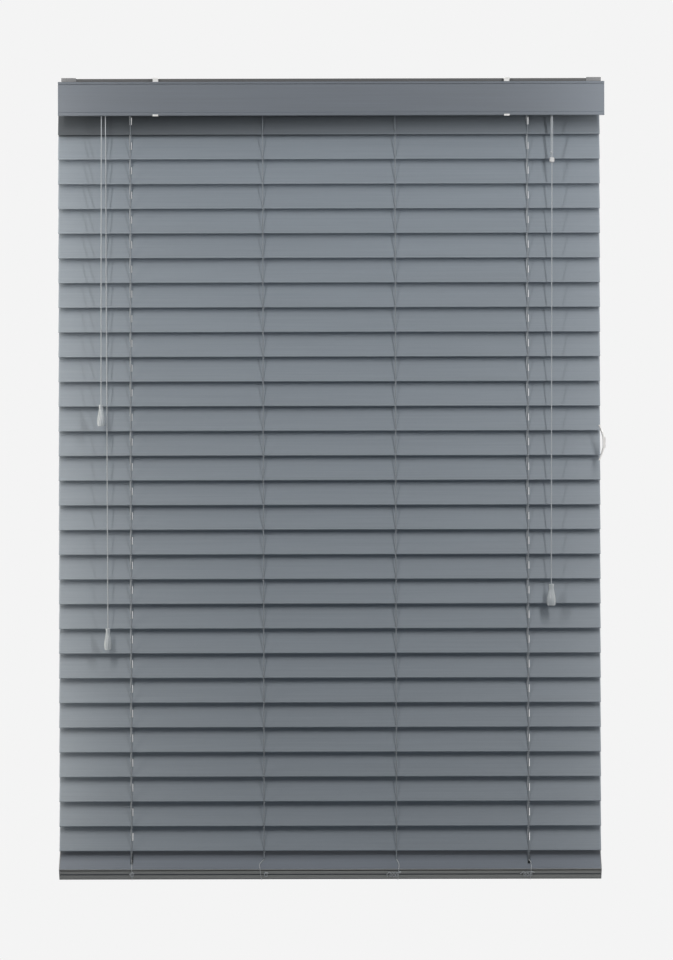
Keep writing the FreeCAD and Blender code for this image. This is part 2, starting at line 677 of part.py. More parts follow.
def drum_string(x):
    front, back = value(FRONT_TOP) + mm.rung_gap, value(BACK_TOP) + mm.rung_gap
    bend = mm.string_wrap * mm.bend_share
    return tube(
        [
            Vector(x, -string_y, front),
            drum_corner(x, -1, front),
            drum_corner(x, 1, back),
            Vector(x, string_y, back),
        ],
        [bend, bend],
        mm.string_thick,
    )


def rail_string(x, side):
    """The end of a string that laps round the rail; side is -1 at the room edge, 1 at the other."""
    off = mm.string_thick / 2 + mm.rung_gap
    reach, rise = mm.rail_width / 2 + off, mm.rail_thick / 2 + off
    if side < 0:
        start = rail_point(x, (rise * math.sin(rail_angle) - string_y) / math.cos(rail_angle), rise)
    else:
        start = Vector(x, string_y, value(STRING_END) + 2 * string_rise - mm.rung_gap)
    corner = mm.rail_round + off
    last = mm.plug_radius + mm.rung_gap
    return tube(
        [start, rail_point(x, side * reach, rise), rail_point(x, side * reach, -rise),
         rail_point(x, side * last, -rise)],
        [corner, corner],
        mm.string_thick,
    )


ladder_ends = [drum_string(x) for x in ladder_x]
ladder_ends += [rail_string(x, side) for x in ladder_x for side in (-1, 1)]
node(feature_of("LadderEnds", ladder_ends), "ladder_ends")

# ---------------------------------------------------------------- bottom rail, caps and plugs
RAIL_HALF = "(%s / 2 - cap_thick)" % SLAT_LENGTH
ROOM_EDGE = "(-rail_width / 2)"
GROOVE_TOP = "(rail_thick / 2 - rail_round - rail_groove / 2)"
BAND_TOP = "(%s - rail_groove)" % GROOVE_TOP
COVE_TOP = "(%s - rail_band)" % BAND_TOP
rail_blank = body("RailBlank")
rail_section = outline(rail_blank, "RailSection", "YZ_Plane", [
    (ROOM_EDGE, "-rail_thick / 2"),
    ("rail_width / 2", "-rail_thick / 2"),
    ("rail_width / 2", "rail_thick / 2"),
    (ROOM_EDGE, "rail_thick / 2"),
    (ROOM_EDGE, GROOVE_TOP),
    (ROOM_EDGE + " + rail_groove", GROOVE_TOP),
    (ROOM_EDGE + " + rail_groove", BAND_TOP),
    (ROOM_EDGE, BAND_TOP),
    (ROOM_EDGE, COVE_TOP),
    (ROOM_EDGE + " + rail_groove / 2", COVE_TOP),
    (ROOM_EDGE + " + rail_groove / 2", COVE_TOP + " - rail_cove"),
    (ROOM_EDGE, COVE_TOP + " - rail_cove"),
])
rail_board = pad(rail_blank, "RailBoard", rail_section, "2 * " + RAIL_HALF)
half_thick = mm.rail_thick / 2
round_long_edges(rail_blank, "RailEdges", rail_board, "min(rail_round; rail_thick * 0.2)",
                 lambda y, z: abs(abs(z) - half_thick) < 0.01 and abs(abs(y) - mm.rail_width / 2) < 0.01)

PLUG_TOP = "(plug_depth + seat_gap - rail_thick / 2)"
SLOT_HALF = "(rail_thick / 2 * tan(rail_tilt) + cord_thick / cos(rail_tilt))"
rail_tools = []
for number, ladder in enumerate(LADDERS, start=1):
    rail_tools.append(cylinder(
        "PlugHole%d" % number, "plug_stem + seat_gap / 2", "plug_depth + seat_gap + 1",
        (ladder, "0", "-rail_thick / 2 - 1"), "Z"))
for number, ladder in enumerate(LIFTED, start=1):
    rail_tools.append(box(
        "RailSlot%d" % number,
        (ladder + " - knot_radius - seat_gap", ladder + " + knot_radius + seat_gap"),
        ("-" + SLOT_HALF, SLOT_HALF),
        (PLUG_TOP + " - 0.5", "rail_thick / 2 + 1"),
    ))
rail = cut("RailCut", rail_blank, rail_tools)


def on_rail(name, piece):
    """Puts a piece drawn in the rail's own frame in its tilted place."""
    return place(group(name, [piece]), "curtain_shift", "0", RAIL_Z, ACROSS, "rail_tilt")


node(on_rail("BottomRail", rail), "bottom_rail")

cap_blank = body("CapBlank")
cap_section = outline(cap_blank, "CapSection", "YZ_Plane", rectangle(
    ROOM_EDGE, "rail_width / 2", "-rail_thick / 2", "rail_thick / 2"))
cap_plate = pad(cap_blank, "CapPlate", cap_section, "cap_thick")
round_long_edges(cap_blank, "CapEdges", cap_plate, "min(rail_round; rail_thick * 0.2)",
                 lambda y, z: True)
caps = group("Caps", [
    place(group(name, [cap_blank]), "%s * (%s + cap_thick / 2)" % (sign, RAIL_HALF))
    for name, sign in (("LeftCap", "-1"), ("RightCap", "1"))
])
node(on_rail("RailEndCaps", caps), "rail_end_caps")

plugs = []
for number, ladder in enumerate(LADDERS, start=1):
    head = cylinder("PlugHead%d" % number, "plug_radius", "plug_head",
                    (ladder, "0", "-rail_thick / 2 - plug_head"), "Z")
    stem = cylinder("PlugStem%d" % number, "plug_stem", "plug_depth",
                    (ladder, "0", "-rail_thick / 2"), "Z")
    plugs.append(fuse("Plug%d" % number, [head, stem]))
node(on_rail("RailPlugs", group("Plugs", plugs)), "rail_plugs")

# ---------------------------------------------------------------- tilt rod, gear and ladder drums
ROD_Z = "(-rod_drop)"
ROD_START = "(%s - tilter_width / 2 - rod_overhang)" % TILTER_X
ROD_END = "(curtain_shift + %s + drum_width / 2 + flange_thick + rod_overhang)" % OUTER_LADDER
tilt_rod = box(
    "TiltRod",
    (ROD_START, ROD_END),
    ("-rod_width / 2", "rod_width / 2"),
    (ROD_Z + " - rod_width / 2", ROD_Z + " + rod_width / 2"),
)
node(tilt_rod, "tilt_rod")


def rod_hole(owner, name):
    """The square hole that fits the tilt rod."""
    half = "(rod_width / 2 + shaft_gap)"
    sketch = outline(owner, name + "Square", "YZ_Plane", rectangle("-" + half, half, "-" + half, half))
    return pocket(owner, name, sketch)


TIP = "(gear_teeth * gear_module / 2 + gear_module)"
ROOT = "(gear_teeth * gear_module / 2 - 1.25 * gear_module)"
PITCH = "(pi * gear_module)"
gear = body("Gear")
gear_profile = outline(gear, "GearProfile", "XZ_Plane", [
    ("-tilter_width / 2 - seat_gap", "0"),
    ("tilter_width / 2 + seat_gap", "0"),
    ("tilter_width / 2 + seat_gap", "journal_radius"),
    ("gear_width / 2", "journal_radius"),
    ("gear_width / 2", TIP),
    ("-gear_width / 2", TIP),
    ("-gear_width / 2", "journal_radius"),
    ("-tilter_width / 2 - seat_gap", "journal_radius"),
])
revolve(gear, "GearBlank", gear_profile, "H_Axis")
rod_hole(gear, "GearBore")


def half_gap(radius):
    """Half the space between two teeth at a radius, wider towards the tips."""
    return "((1 - tooth_share) * %s / 2 + (%s - gear_teeth * gear_module / 2) * tan(flank_angle))" % (
        PITCH, radius)


BEYOND = "(%s + gear_module)" % TIP
gap_sketch = outline(gear, "ToothGap", "YZ_Plane", [
    ("-" + half_gap(ROOT), "-" + ROOT),
    ("-" + half_gap(BEYOND), "-" + BEYOND),
    (half_gap(BEYOND), "-" + BEYOND),
    (half_gap(ROOT), "-" + ROOT),
])
doc.recompute()
first_gap = pocket(gear, "FirstGap", gap_sketch)
teeth = gear.newObject("PartDesign::PolarPattern", "Teeth")
teeth.Originals = [first_gap]
teeth.Axis = (next(f for f in gear.Origin.OriginFeatures if f.Role == "X_Axis"), [""])
teeth.Angle = 360
bind(teeth, "Occurrences", "gear_teeth")
gear.Tip = teeth
node(place(gear, TILTER_X, "0", ROD_Z), "tilt_gear")

drum = body("Drum")
DRUM_SIDE = "(drum_width / 2 + flange_thick)"
NECK_END = "(%s + seat_gap + cradle_wall + seat_gap)" % DRUM_SIDE
drum_profile = outline(drum, "DrumProfile", "XZ_Plane", [
    ("-" + NECK_END, "0"),
    (NECK_END, "0"),
    (NECK_END, "journal_radius"),
    (DRUM_SIDE, "journal_radius"),
    (DRUM_SIDE, "drum_flange"),
    ("drum_width / 2", "drum_flange"),
    ("drum_width / 2", "drum_barrel"),
    ("-drum_width / 2", "drum_barrel"),
    ("-drum_width / 2", "drum_flange"),
    ("-" + DRUM_SIDE, "drum_flange"),
    ("-" + DRUM_SIDE, "journal_radius"),
    ("-" + NECK_END, "journal_radius"),
])
revolve(drum, "DrumBlank", drum_profile, "H_Axis")
rod_hole(drum, "DrumBore")
drums = [
    place(group("Drum%d" % number, [drum]), "curtain_shift + " + ladder, "0", ROD_Z)
    for number, ladder in enumerate(LADDERS, start=1)
]
node(group("LadderDrums", drums), "ladder_drums")

# A cradle: a base plate on the headrail's floor and two uprights with the drum's bearings. The
# uprights have a window near the floor for the lift cords.
CRADLE_IN = "(%s + seat_gap)" % DRUM_SIDE
CRADLE_OUT = "(%s + cradle_wall)" % CRADLE_IN
PLATE_TOP = "(%s + cradle_base)" % HEADRAIL_FLOOR
CORD_WINDOW = (PLATE_TOP, "-cord_run + cord_thick")
cradle_base = box(
    "CradleBase", ("-" + CRADLE_OUT, CRADLE_OUT), ("-cradle_depth / 2", "cradle_depth / 2"),
    (HEADRAIL_FLOOR, PLATE_TOP))
upright_y = ("-cradle_depth / 2", "cradle_depth / 2")
upright_z = (HEADRAIL_FLOOR, ROD_Z + " + cradle_top")
uprights = [
    box("LeftUpright", ("-" + CRADLE_OUT, "-" + CRADLE_IN), upright_y, upright_z),
    box("RightUpright", (CRADLE_IN, CRADLE_OUT), upright_y, upright_z),
]
cradle_blank = fuse("CradleBlank", [cradle_base] + uprights)
cradle_tools = [
    box("CradleHole", ("-floor_hole_width / 2", "floor_hole_width / 2"),
        ("-floor_hole / 2", "floor_hole / 2"), (HEADRAIL_FLOOR + " - 1", PLATE_TOP + " + 1")),
    cylinder("CradleBearing", "journal_radius + shaft_gap", "2 * %s + 2" % CRADLE_OUT,
             ("-%s - 1" % CRADLE_OUT, "0", ROD_Z), "X"),
    box("CradleWindow", ("-%s - 1" % CRADLE_OUT, CRADLE_OUT + " + 1"),
        ("-cord_side_step - 2 * cord_thick", "2 * cord_thick"), CORD_WINDOW),
]
cradle = cut("Cradle", cradle_blank, cradle_tools)
cradles = [
    place(group("Cradle%d" % number, [cradle]), "curtain_shift + " + ladder)
    for number, ladder in enumerate(LADDERS, start=1)
]
node(group("DrumCradles", cradles), "drum_cradles")

# ---------------------------------------------------------------- tilter: worm with pulley, housing
PULLEY_FRONT = "(%s - pulley_width / 2)" % CORD_Y
PULLEY_BACK = "(%s + pulley_width / 2)" % CORD_Y
BARREL = "(pulley_cord_radius - cord_thick / 2 - shaft_gap)"
worm = body("Worm")
worm_profile = outline(worm, "WormProfile", "YZ_Plane", [
    (PULLEY_FRONT + " - pulley_rim", "0"),
    ("tilter_back - seat_gap", "0"),
    ("tilter_back - seat_gap", "worm_core"),
    (PULLEY_BACK + " + pulley_rim", "worm_core"),
    (PULLEY_BACK + " + pulley_rim", "pulley_flange"),
    (PULLEY_BACK, "pulley_flange"),
    (PULLEY_BACK, BARREL),
    (PULLEY_FRONT, BARREL),
    (PULLEY_FRONT, "pulley_flange"),
    (PULLEY_FRONT + " - pulley_rim", "pulley_flange"),
])
revolve(worm, "WormShaft", worm_profile, "H_Axis")


def half_thread(radius):
    """Half the thread's thickness at a radius, thinner towards its crest."""
    return "(thread_share * %s / 2 - (%s - worm_radius) * tan(flank_angle))" % (PITCH, radius)


THREAD_START = "(-worm_turns * %s / 2)" % PITCH
THREAD_FOOT = "(worm_core - 0.1)"
CREST = "(worm_radius + gear_module)"
thread_sketch = outline(worm, "ThreadSection", "YZ_Plane", [
    (THREAD_START + " - " + half_thread(THREAD_FOOT), THREAD_FOOT),
    (THREAD_START + " + " + half_thread(THREAD_FOOT), THREAD_FOOT),
    (THREAD_START + " + " + half_thread(CREST), CREST),
    (THREAD_START + " - " + half_thread(CREST), CREST),
])
doc.recompute()
thread = worm.newObject("PartDesign::AdditiveHelix", "Thread")
thread.Profile = thread_sketch
thread.ReferenceAxis = (thread_sketch, ["H_Axis"])
thread.Mode = "pitch-turns-angle"
thread.LeftHanded = True
bind(thread, "Pitch", PITCH)
bind(thread, "Turns", "worm_turns")
node(place(worm, TILTER_X, "0", WORM_Z), "worm_and_pulley")

HOUSING_FRONT = "(-%s + seat_gap)" % HEADRAIL_INSIDE
HOUSING_TOP = "(%s + journal_radius + tilter_wall)" % ROD_Z
NOSE_FRONT = "(%s - pulley_rim - seat_gap)" % PULLEY_FRONT
NOSE_BACK = "(%s + pulley_rim + seat_gap)" % PULLEY_BACK
NOSE_BOTTOM = "(%s + seat_gap)" % HEADRAIL_FLOOR
housing_x = (TILTER_X + " - tilter_width / 2", TILTER_X + " + tilter_width / 2")
nose_x = (TILTER_X + " - nose_width / 2", TILTER_X + " + nose_width / 2")
housing_blank = fuse("HousingBlank", [
    box("HousingBlock", housing_x, (HOUSING_FRONT, "tilter_back"), (HEADRAIL_FLOOR, HOUSING_TOP)),
    box("NoseBlock", nose_x, (NOSE_FRONT + " - nose_wall", HOUSING_FRONT + " + tilter_wall"),
        (NOSE_BOTTOM, NOSE_TOP)),
])
housing_tools = [
    box("HousingHollow", (housing_x[0] + " + tilter_wall", housing_x[1] + " - tilter_wall"),
        (HOUSING_FRONT + " + tilter_wall", "tilter_back - tilter_wall"),
        (HEADRAIL_FLOOR + " + tilter_floor", HOUSING_TOP + " + 1")),
    box("NoseHollow", (nose_x[0] + " + nose_wall", nose_x[1] + " - nose_wall"),
        (NOSE_FRONT, NOSE_BACK), (NOSE_BOTTOM + " - 1", NOSE_TOP + " - nose_wall")),
    cylinder("GearBearing", "journal_radius + shaft_gap", "tilter_width + 2",
             (housing_x[0] + " - 1", "0", ROD_Z), "X"),
    cylinder("WormBearing", "worm_core + shaft_gap", "tilter_back + 1 - " + NOSE_BACK,
             (TILTER_X, NOSE_BACK, WORM_Z), "Y"),
]
node(cut("TilterHousing", housing_blank, housing_tools), "tilter_housing")

# ---------------------------------------------------------------- cord lock and its pawl
LOCK_FLOOR = "(%s + lock_wall)" % HEADRAIL_FLOOR
LIP_CENTRE_Y = "(%s + lock_bend)" % CORD_Y
LIP_CENTRE_Z = "(-cord_run - lock_bend)"
LIP_RADIUS = "(lock_bend - cord_thick / 2 - shaft_gap)"
lip_x = ("%s - %s" % (LOCK_X, LIP_HALF), "%s + %s" % (LOCK_X, LIP_HALF))
throat_x = (LOCK_X + " - lock_throat / 2", LOCK_X + " + lock_throat / 2")
lip_roll = cylinder("LipRoll", LIP_RADIUS, "2 * " + LIP_HALF, (lip_x[0], LIP_CENTRE_Y, LIP_CENTRE_Z), "X")
lip_clear = box("LipClear", (lip_x[0] + " - 1", lip_x[1] + " + 1"),
                ("-headrail_depth / 2 - seat_gap", "0"), (LIP_CENTRE_Z + " - 10", "0"))
lock_blank = fuse("LockBlank", [
    box("LockBlock", (LOCK_X + " - lock_width / 2", LOCK_X + " + lock_width / 2"),
        (HOUSING_FRONT, "lock_back"), (HEADRAIL_FLOOR, HEADRAIL_FLOOR + " + lock_height")),
    box("LockNeck", lip_x, (LIP_CENTRE_Y, HOUSING_FRONT + " + lock_wall"),
        (NOSE_BOTTOM, "-cord_run - cord_thick / 2 - seat_gap")),
    cut("Lip", lip_roll, [lip_clear]),
])
PAWL_Z = "(-cord_run + cord_thick / 2 + rung_gap + pawl_radius)"
lock_tools = [
    box("Throat", throat_x, (HOUSING_FRONT + " - 1", "lock_back - 2 * lock_wall"),
        (LOCK_FLOOR, HEADRAIL_FLOOR + " + lock_height + 1")),
    box("CordWindow", (LOCK_X + " - lock_width / 2 - 1", LOCK_X),
        ("-cord_side_step - 2 * cord_thick", "2 * cord_thick"), (LOCK_FLOOR, "-cord_run + 2 * cord_thick")),
    cylinder("PawlBearing", "pawl_pin + shaft_gap", "lock_throat + 4 * lock_wall",
             (throat_x[0] + " - 2 * lock_wall", PAWL_Y, PAWL_Z), "X"),
]
node(cut("CordLock", lock_blank, lock_tools), "cord_lock_body")

PAWL_HALF = "(lock_throat / 2 - seat_gap)"
pawl_sector = doc.addObject("Part::Common", "PawlSector")
pawl_sector.Base = box("PawlLeg", ("-" + PAWL_HALF, PAWL_HALF), ("-0.3 * pawl_radius", "0.3 * pawl_radius"),
                       ("-pawl_radius", "0"))
pawl_sector.Tool = cylinder("PawlRound", "pawl_radius", "2 * " + PAWL_HALF, ("-" + PAWL_HALF, "0", "0"), "X")
pawl = fuse("PawlParts", [
    pawl_sector,
    cylinder("PawlHub", "2 * pawl_pin", "2 * " + PAWL_HALF, ("-" + PAWL_HALF, "0", "0"), "X"),
    cylinder("PawlPin", "pawl_pin", "2 * %s + 2 * lock_wall" % PAWL_HALF,
             ("-%s - lock_wall" % PAWL_HALF, "0", "0"), "X"),
])
node(place(group("Pawl", [pawl]), LOCK_X, PAWL_Y, PAWL_Z), "cord_lock_pawl")

# ---------------------------------------------------------------- lift cords, connector, pull cord
# Each lift cord is knotted inside the bottom rail, runs up through the slats, along the headrail
# and out of the cord lock. The two end in a connector, and one pull cord goes on from there.
room = value(CORD_Y)


def knot_at(point, radius):
    return Part.makeSphere(radius, point)


def lift_cord(x, turn_x, side_step):
    points = [
        Vector(x, 0, rail_z),
        Vector(x, 0, -mm.cord_run),
        Vector(turn_x, -side_step, -mm.cord_run),
        Vector(turn_x, room, -mm.cord_run),
        Vector(turn_x, room, -mm.connector_drop),
    ]
    cord = tube(points, [mm.cord_bend, mm.lock_bend, mm.lock_bend], mm.cord_thick)
    return cord.fuse(knot_at(points[0], mm.knot_radius)).removeSplitter()


half_step = mm.lift_cord_step / 2
lock_x = value(LOCK_X)
lift_cords = [
    lift_cord(ladder_x[0], lock_x - half_step, mm.cord_side_step),
    lift_cord(ladder_x[3], lock_x + half_step, 0),
]
node(feature_of("LiftCords", lift_cords), "lift_cords")

connector = body("Connector")
connector_profile = outline(connector, "ConnectorProfile", "XZ_Plane", [
    ("0", "0"),
    ("0.75 * connector_radius", "0"),
    ("connector_radius", "-0.15 * connector_length"),
    ("connector_radius", "-0.8 * connector_length"),
    ("0.6 * connector_radius", "-connector_length"),
    ("0", "-connector_length"),
])
revolve(connector, "ConnectorTurned", connector_profile, "V_Axis")
node(place(connector, LOCK_X, CORD_Y, "-connector_drop"), "cord_connector")

# A tassel is a turned bell: the cord comes in at its neck and is knotted inside.
def turned_bell(name, swell):
    """A tassel's body; swell (an expression) widens everything but the bore and the wall."""
    bell = body(name)
    profile = outline(bell, name + "Profile", "XZ_Plane", [
        ("tassel_bore", "0"),
        ("%s * tassel_neck" % swell, "0"),
        ("%s * tassel_neck * 1.1" % swell, "-0.2 * tassel_length"),
        ("%s * tassel_belly - 0.9 * tassel_wall" % swell, "-belly_share * tassel_length * 2 / 3"),
        ("%s * tassel_belly" % swell, "-belly_share * tassel_length"),
        ("%s * tassel_foot" % swell, "-tassel_length"),
        ("%s * tassel_foot - tassel_wall" % swell, "-tassel_length"),
        ("%s * tassel_foot - tassel_wall" % swell, "-0.6 * tassel_length"),
        ("tassel_bore", "-0.55 * tassel_length"),
    ])
    revolve(bell, name + "Turned", profile, "V_Axis")
    return bell


def hanging_tassel(name, bell, x, y, drop, label):
    return node(place(group(name, [bell]), x, y, "-(%s)" % drop), label)


tilt_bell = turned_bell("TiltBell", "1")
hanging_tassel("LiftTassel", turned_bell("LiftBell", "lift_tassel_swell"),
               LOCK_X + " + lift_cord_drift", CORD_Y, "lift_tassel_drop", "lift_tassel")
hanging_tassel("ShortTassel", tilt_bell, TILTER_X + " - pulley_cord_radius + short_cord_drift",
               CORD_Y + " - short_cord_step", "short_tassel_drop", "tilt_tassel_short")
hanging_tassel("LongTassel", tilt_bell, TILTER_X + " + pulley_cord_radius + long_cord_drift",
               CORD_Y, "short_tassel_drop + tassel_step", "tilt_tassel_long")


def knotted(points, radii, drop):
    """A cord whose last point hangs inside a tassel that starts drop below the bracket top."""
    end = Vector(points[-1].x, points[-1].y, -drop - mm.belly_share * mm.tassel_length)
    plumb = Vector(points[-1].x, points[-1].y, -drop + mm.tassel_length)
    cord = tube(points[:-1] + [plumb, end], radii, mm.cord_thick)
    return cord.fuse(knot_at(end, mm.cord_thick * 1.25)).removeSplitter()


pull_end_x = lock_x + mm.lift_cord_drift
pull_cord = knotted(
    [
        Vector(lock_x, room, -mm.connector_drop - mm.connector_length - 2 * mm.shaft_gap),
        Vector(pull_end_x, room, 0),
    ],
    [mm.gentle_bend],
    mm.lift_tassel_drop,
)
node(feature_of("PullCord", [pull_cord]), "lift_pull_cord")

# ---------------------------------------------------------------- tilt cords
# One cord lies over the tilter's pulley, and its two ends hang down to the two tilt tassels.
worm_z = value(WORM_Z)
short_x = value(TILTER_X) - mm.pulley_cord_radius
long_x = value(TILTER_X) + mm.pulley_cord_radius
short_cord = knotted(
    [
        Vector(short_x, room, worm_z - 2 * mm.shaft_gap),
        Vector(short_x + mm.short_cord_drift, room - mm.short_cord_step, 0),
    ],
    [mm.gentle_bend],
    mm.short_tassel_drop,
)
node(feature_of("ShortTiltCord", [short_cord]), "tilt_cord_short")

over_pulley = mm.pulley_cord_radius
long_cord = knotted(
    [
        Vector(short_x, room, worm_z),
        Vector(short_x, room, worm_z + over_pulley),
        Vector(long_x, room, worm_z + over_pulley),
        Vector(long_x + mm.long_cord_drift, room, 0),
    ],
    [over_pulley * mm.bend_share, over_pulley * mm.bend_share, mm.gentle_bend],
    mm.short_tassel_drop + mm.tassel_step,
)
node(feature_of("LongTiltCord", [long_cord]), "tilt_cord_long")


# ---------------------------------------------------------------- cord cleat on the side wall
HORN_ROOT_X = "(%s - 0.75 * horn_root)" % REVEAL_X
HORN_TIP_X = "(%s - cleat_rise + horn_tip / 2)" % REVEAL_X


def oval(x, z, thick, wide):
    """A level ring, thick along X and wide along Y."""
    middle = Vector(x, -mm.cleat_front, z)
    ends = [Vector(0, wide / 2, 0), Vector(thick / 2, 0, 0)]
    if thick > wide:
        ends.reverse()
    return Part.Wire([Part.Ellipse(middle + ends[0], middle + ends[1], middle).toShape()])


def horn(sign):
    """One horn: from the cleat's block it bows away from the wall and thins to its tip."""
    start, end = 0.35 * mm.cleat_base, mm.cleat_length / 2
    base_x, tip_x = value(HORN_ROOT_X), value(HORN_TIP_X)
    rings = []
    for step in range(5):
        share = step / 4
        thick = mm.horn_root + (mm.horn_tip - mm.horn_root) * share
        wide = mm.cleat_width * (0.8 - 0.3 * share)
        x = base_x + (tip_x - base_x) * share ** 1.25
        rings.append(oval(x, -mm.cleat_drop + sign * (start + (end - start) * share), thick, wide))
    return Part.makeLoft(rings, True)


CLEAT_FACE = HORN_ROOT_X + " - horn_root / 2"
cleat_block = box(
    "CleatBlock",
    (CLEAT_FACE, REVEAL_X),
    ("-cleat_front - cleat_width / 2", "-cleat_front + cleat_width / 2"),
    ("-cleat_drop - cleat_base / 2", "-cleat_drop + cleat_base / 2"),
)
horns = [feature_of("UpperHorn", [horn(1)]), feature_of("LowerHorn", [horn(-1)])]
cleat_holes = [
    cylinder("CleatHole%d" % number, "cleat_hole / 2", "cleat_rise + 2",
             (REVEAL_X + " - cleat_rise - 1", "-cleat_front",
              "-cleat_drop %s cleat_screw_step / 2" % sign), "X")
    for number, sign in enumerate("+-", start=1)
]
node(cut("Cleat", fuse("CleatSolid", [cleat_block] + horns), cleat_holes), "cord_cleat")

# ---------------------------------------------------------------- check and write
doc.recompute()
for thing in doc.Objects:
    broken = [state for state in thing.State if state in ("Invalid", "Error")]
    if broken:
        raise RuntimeError("%s (%s) is %s" % (thing.Name, thing.Label, broken))
print("%d nodes" % len(NODES))
for thing in NODES:
    shape = thing.Shape
    if shape.isNull() or not shape.isValid() or not shape.Solids:
        raise RuntimeError("%s has no valid solid" % thing.Label)
    shape.exportStep("parts/%s.step" % thing.Label)
    size = shape.BoundBox
    print("%-22s %3d solids %10.1f mm3  %8.2f %7.2f %9.2f  %8.2f %7.2f %9.2f" % (
        thing.Label, len(shape.Solids), shape.Volume,
        size.XMin, size.YMin, size.ZMin, size.XMax, size.YMax, size.ZMax))
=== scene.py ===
# %% [markdown]
# # A closed venetian blind
# The object is a 50 mm venetian blind, let down and closed. Slats hang in string ladders below a
# steel headrail, and cords at both ends turn and lift them. Its rigid parts come from a CAD model
# and stay as they are. This lesson adds what CAD shows badly: strings, cords and tassels, and it
# gives every part its finish. Everything is in metres, +X along the headrail, +Y to the window.

import math

import bpy
import numpy as np
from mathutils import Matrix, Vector


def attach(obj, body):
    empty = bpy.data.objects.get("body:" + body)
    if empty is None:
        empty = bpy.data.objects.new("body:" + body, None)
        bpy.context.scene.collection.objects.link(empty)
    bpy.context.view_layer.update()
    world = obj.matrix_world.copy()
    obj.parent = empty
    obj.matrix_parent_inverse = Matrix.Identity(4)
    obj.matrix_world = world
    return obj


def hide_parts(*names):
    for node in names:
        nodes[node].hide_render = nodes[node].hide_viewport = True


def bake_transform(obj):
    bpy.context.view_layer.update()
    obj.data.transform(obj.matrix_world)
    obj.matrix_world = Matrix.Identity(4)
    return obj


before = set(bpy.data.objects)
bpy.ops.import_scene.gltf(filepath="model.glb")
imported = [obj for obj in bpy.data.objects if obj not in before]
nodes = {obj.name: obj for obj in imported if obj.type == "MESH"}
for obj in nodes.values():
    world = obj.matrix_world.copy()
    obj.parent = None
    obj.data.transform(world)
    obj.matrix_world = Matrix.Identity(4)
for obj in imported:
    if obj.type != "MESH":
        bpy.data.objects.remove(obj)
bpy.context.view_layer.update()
scene = bpy.context.scene

# %% [markdown]
# ## The camera
# A blind is seen square on from across the room. A long lens far away keeps its slats parallel,
# as they are on the real thing. A wide lens close by would fan them out. The camera is level, and
# a roll of a tenth of a degree lets the slats rise a little to the right.

# %% Camera
ROLL = math.radians(0.12)
camera = bpy.data.objects.new("camera", bpy.data.cameras.new("camera"))
scene.collection.objects.link(camera)
scene.camera = camera
camera.data.sensor_width = 36
camera.data.lens = 177.24
camera.data.clip_end = 100
camera.location = (0.0078, -8.045, -0.6825)
camera.rotation_euler = (math.radians(90), ROLL, 0)
print("camera", tuple(round(v, 3) for v in camera.location), "lens", camera.data.lens)

# %% [markdown]
# ## Places taken from the frame
# The strings and cords have to meet the slats, the drums and the rail, so their places come from
# the CAD model's own sizes. They are written in millimetres, as a maker writes them, and one
# helper turns them into metres.

# %% Sizes in millimetres
PITCH, FIRST_SLAT, SLATS = 42.0, -71.5, 30
LADDERS = np.array([-341.5, -116.5, 108.5, 333.5])
CLOSED = math.radians(70)
STRING_REACH = 30.0  # from a slat's middle to the string on either side
STRING_Y = STRING_REACH * math.cos(CLOSED)
STRING_RISE = STRING_REACH * math.sin(CLOSED)
RAIL_Z, RAIL_TURN = -1335.9, math.radians(40)


def metres(points):
    """Millimetres to metres, as an array with one point in each row."""
    return np.array(points, float) / 1000


slat_z = FIRST_SLAT - PITCH * np.arange(SLATS)
print("strings stand", round(STRING_Y, 2), "mm each side of the slats' middle")

# %% [markdown]
# ## Tubes
# Strings, cords and rungs are all tubes: a ring of points carried along a line. The ring's size
# may change with the angle round it and the distance along it, which draws a braid or a twist as
# real relief. A curve with a bevel would be quicker, but its ring can only be plain.

# %% A line's distance, its resampling and its frame
def distance_along(line):
    """Length of the line up to each point: the running sum of the steps' lengths."""
    steps = np.linalg.norm(np.diff(line, axis=0), axis=1)
    return np.concatenate([[0.0], np.cumsum(steps)])


def evenly(line, step):
    """The same line with points about one step apart, by linear interpolation on its length."""
    s = distance_along(line)
    even = np.linspace(0, s[-1], max(2, int(round(s[-1] / step)) + 1))
    return np.stack([np.interp(even, s, line[:, k]) for k in range(3)], axis=1)


def across(line, up):
    """Two unit directions across the line: n1 = tangent x up, and n2 = tangent x n1."""
    tangent = np.gradient(line, axis=0)
    tangent /= np.linalg.norm(tangent, axis=1, keepdims=True)
    n1 = np.cross(tangent, np.array(up, float))
    n1 /= np.linalg.norm(n1, axis=1, keepdims=True)
    return n1, np.cross(tangent, n1)


# %% A ring carried along a line
def angles(around):
    """Evenly spaced angles once round a ring, from 0 to just under 2 pi."""
    return 2 * np.pi * np.arange(around) / around


def tube(line, radius, around, up=(1.0, 1.0, 1.0)):
    """Point (i, j) = line(i) + r(i, j) (cos a(j) n1(i) + sin a(j) n2(i)), a(j) from 0 to 2 pi.
    radius is in metres: a function of the angle and of the distance along, or one for each row."""
    n1, n2 = across(line, up)
    s = distance_along(line)
    a = angles(around)
    r = radius(a[None, :], s[:, None]) if callable(radius) else radius[:, None]
    ring = np.cos(a)[None, :, None] * n1[:, None, :] + np.sin(a)[None, :, None] * n2[:, None, :]
    return {"grid": line[:, None, :] + r[:, :, None] * ring, "along": s, "loop": False}


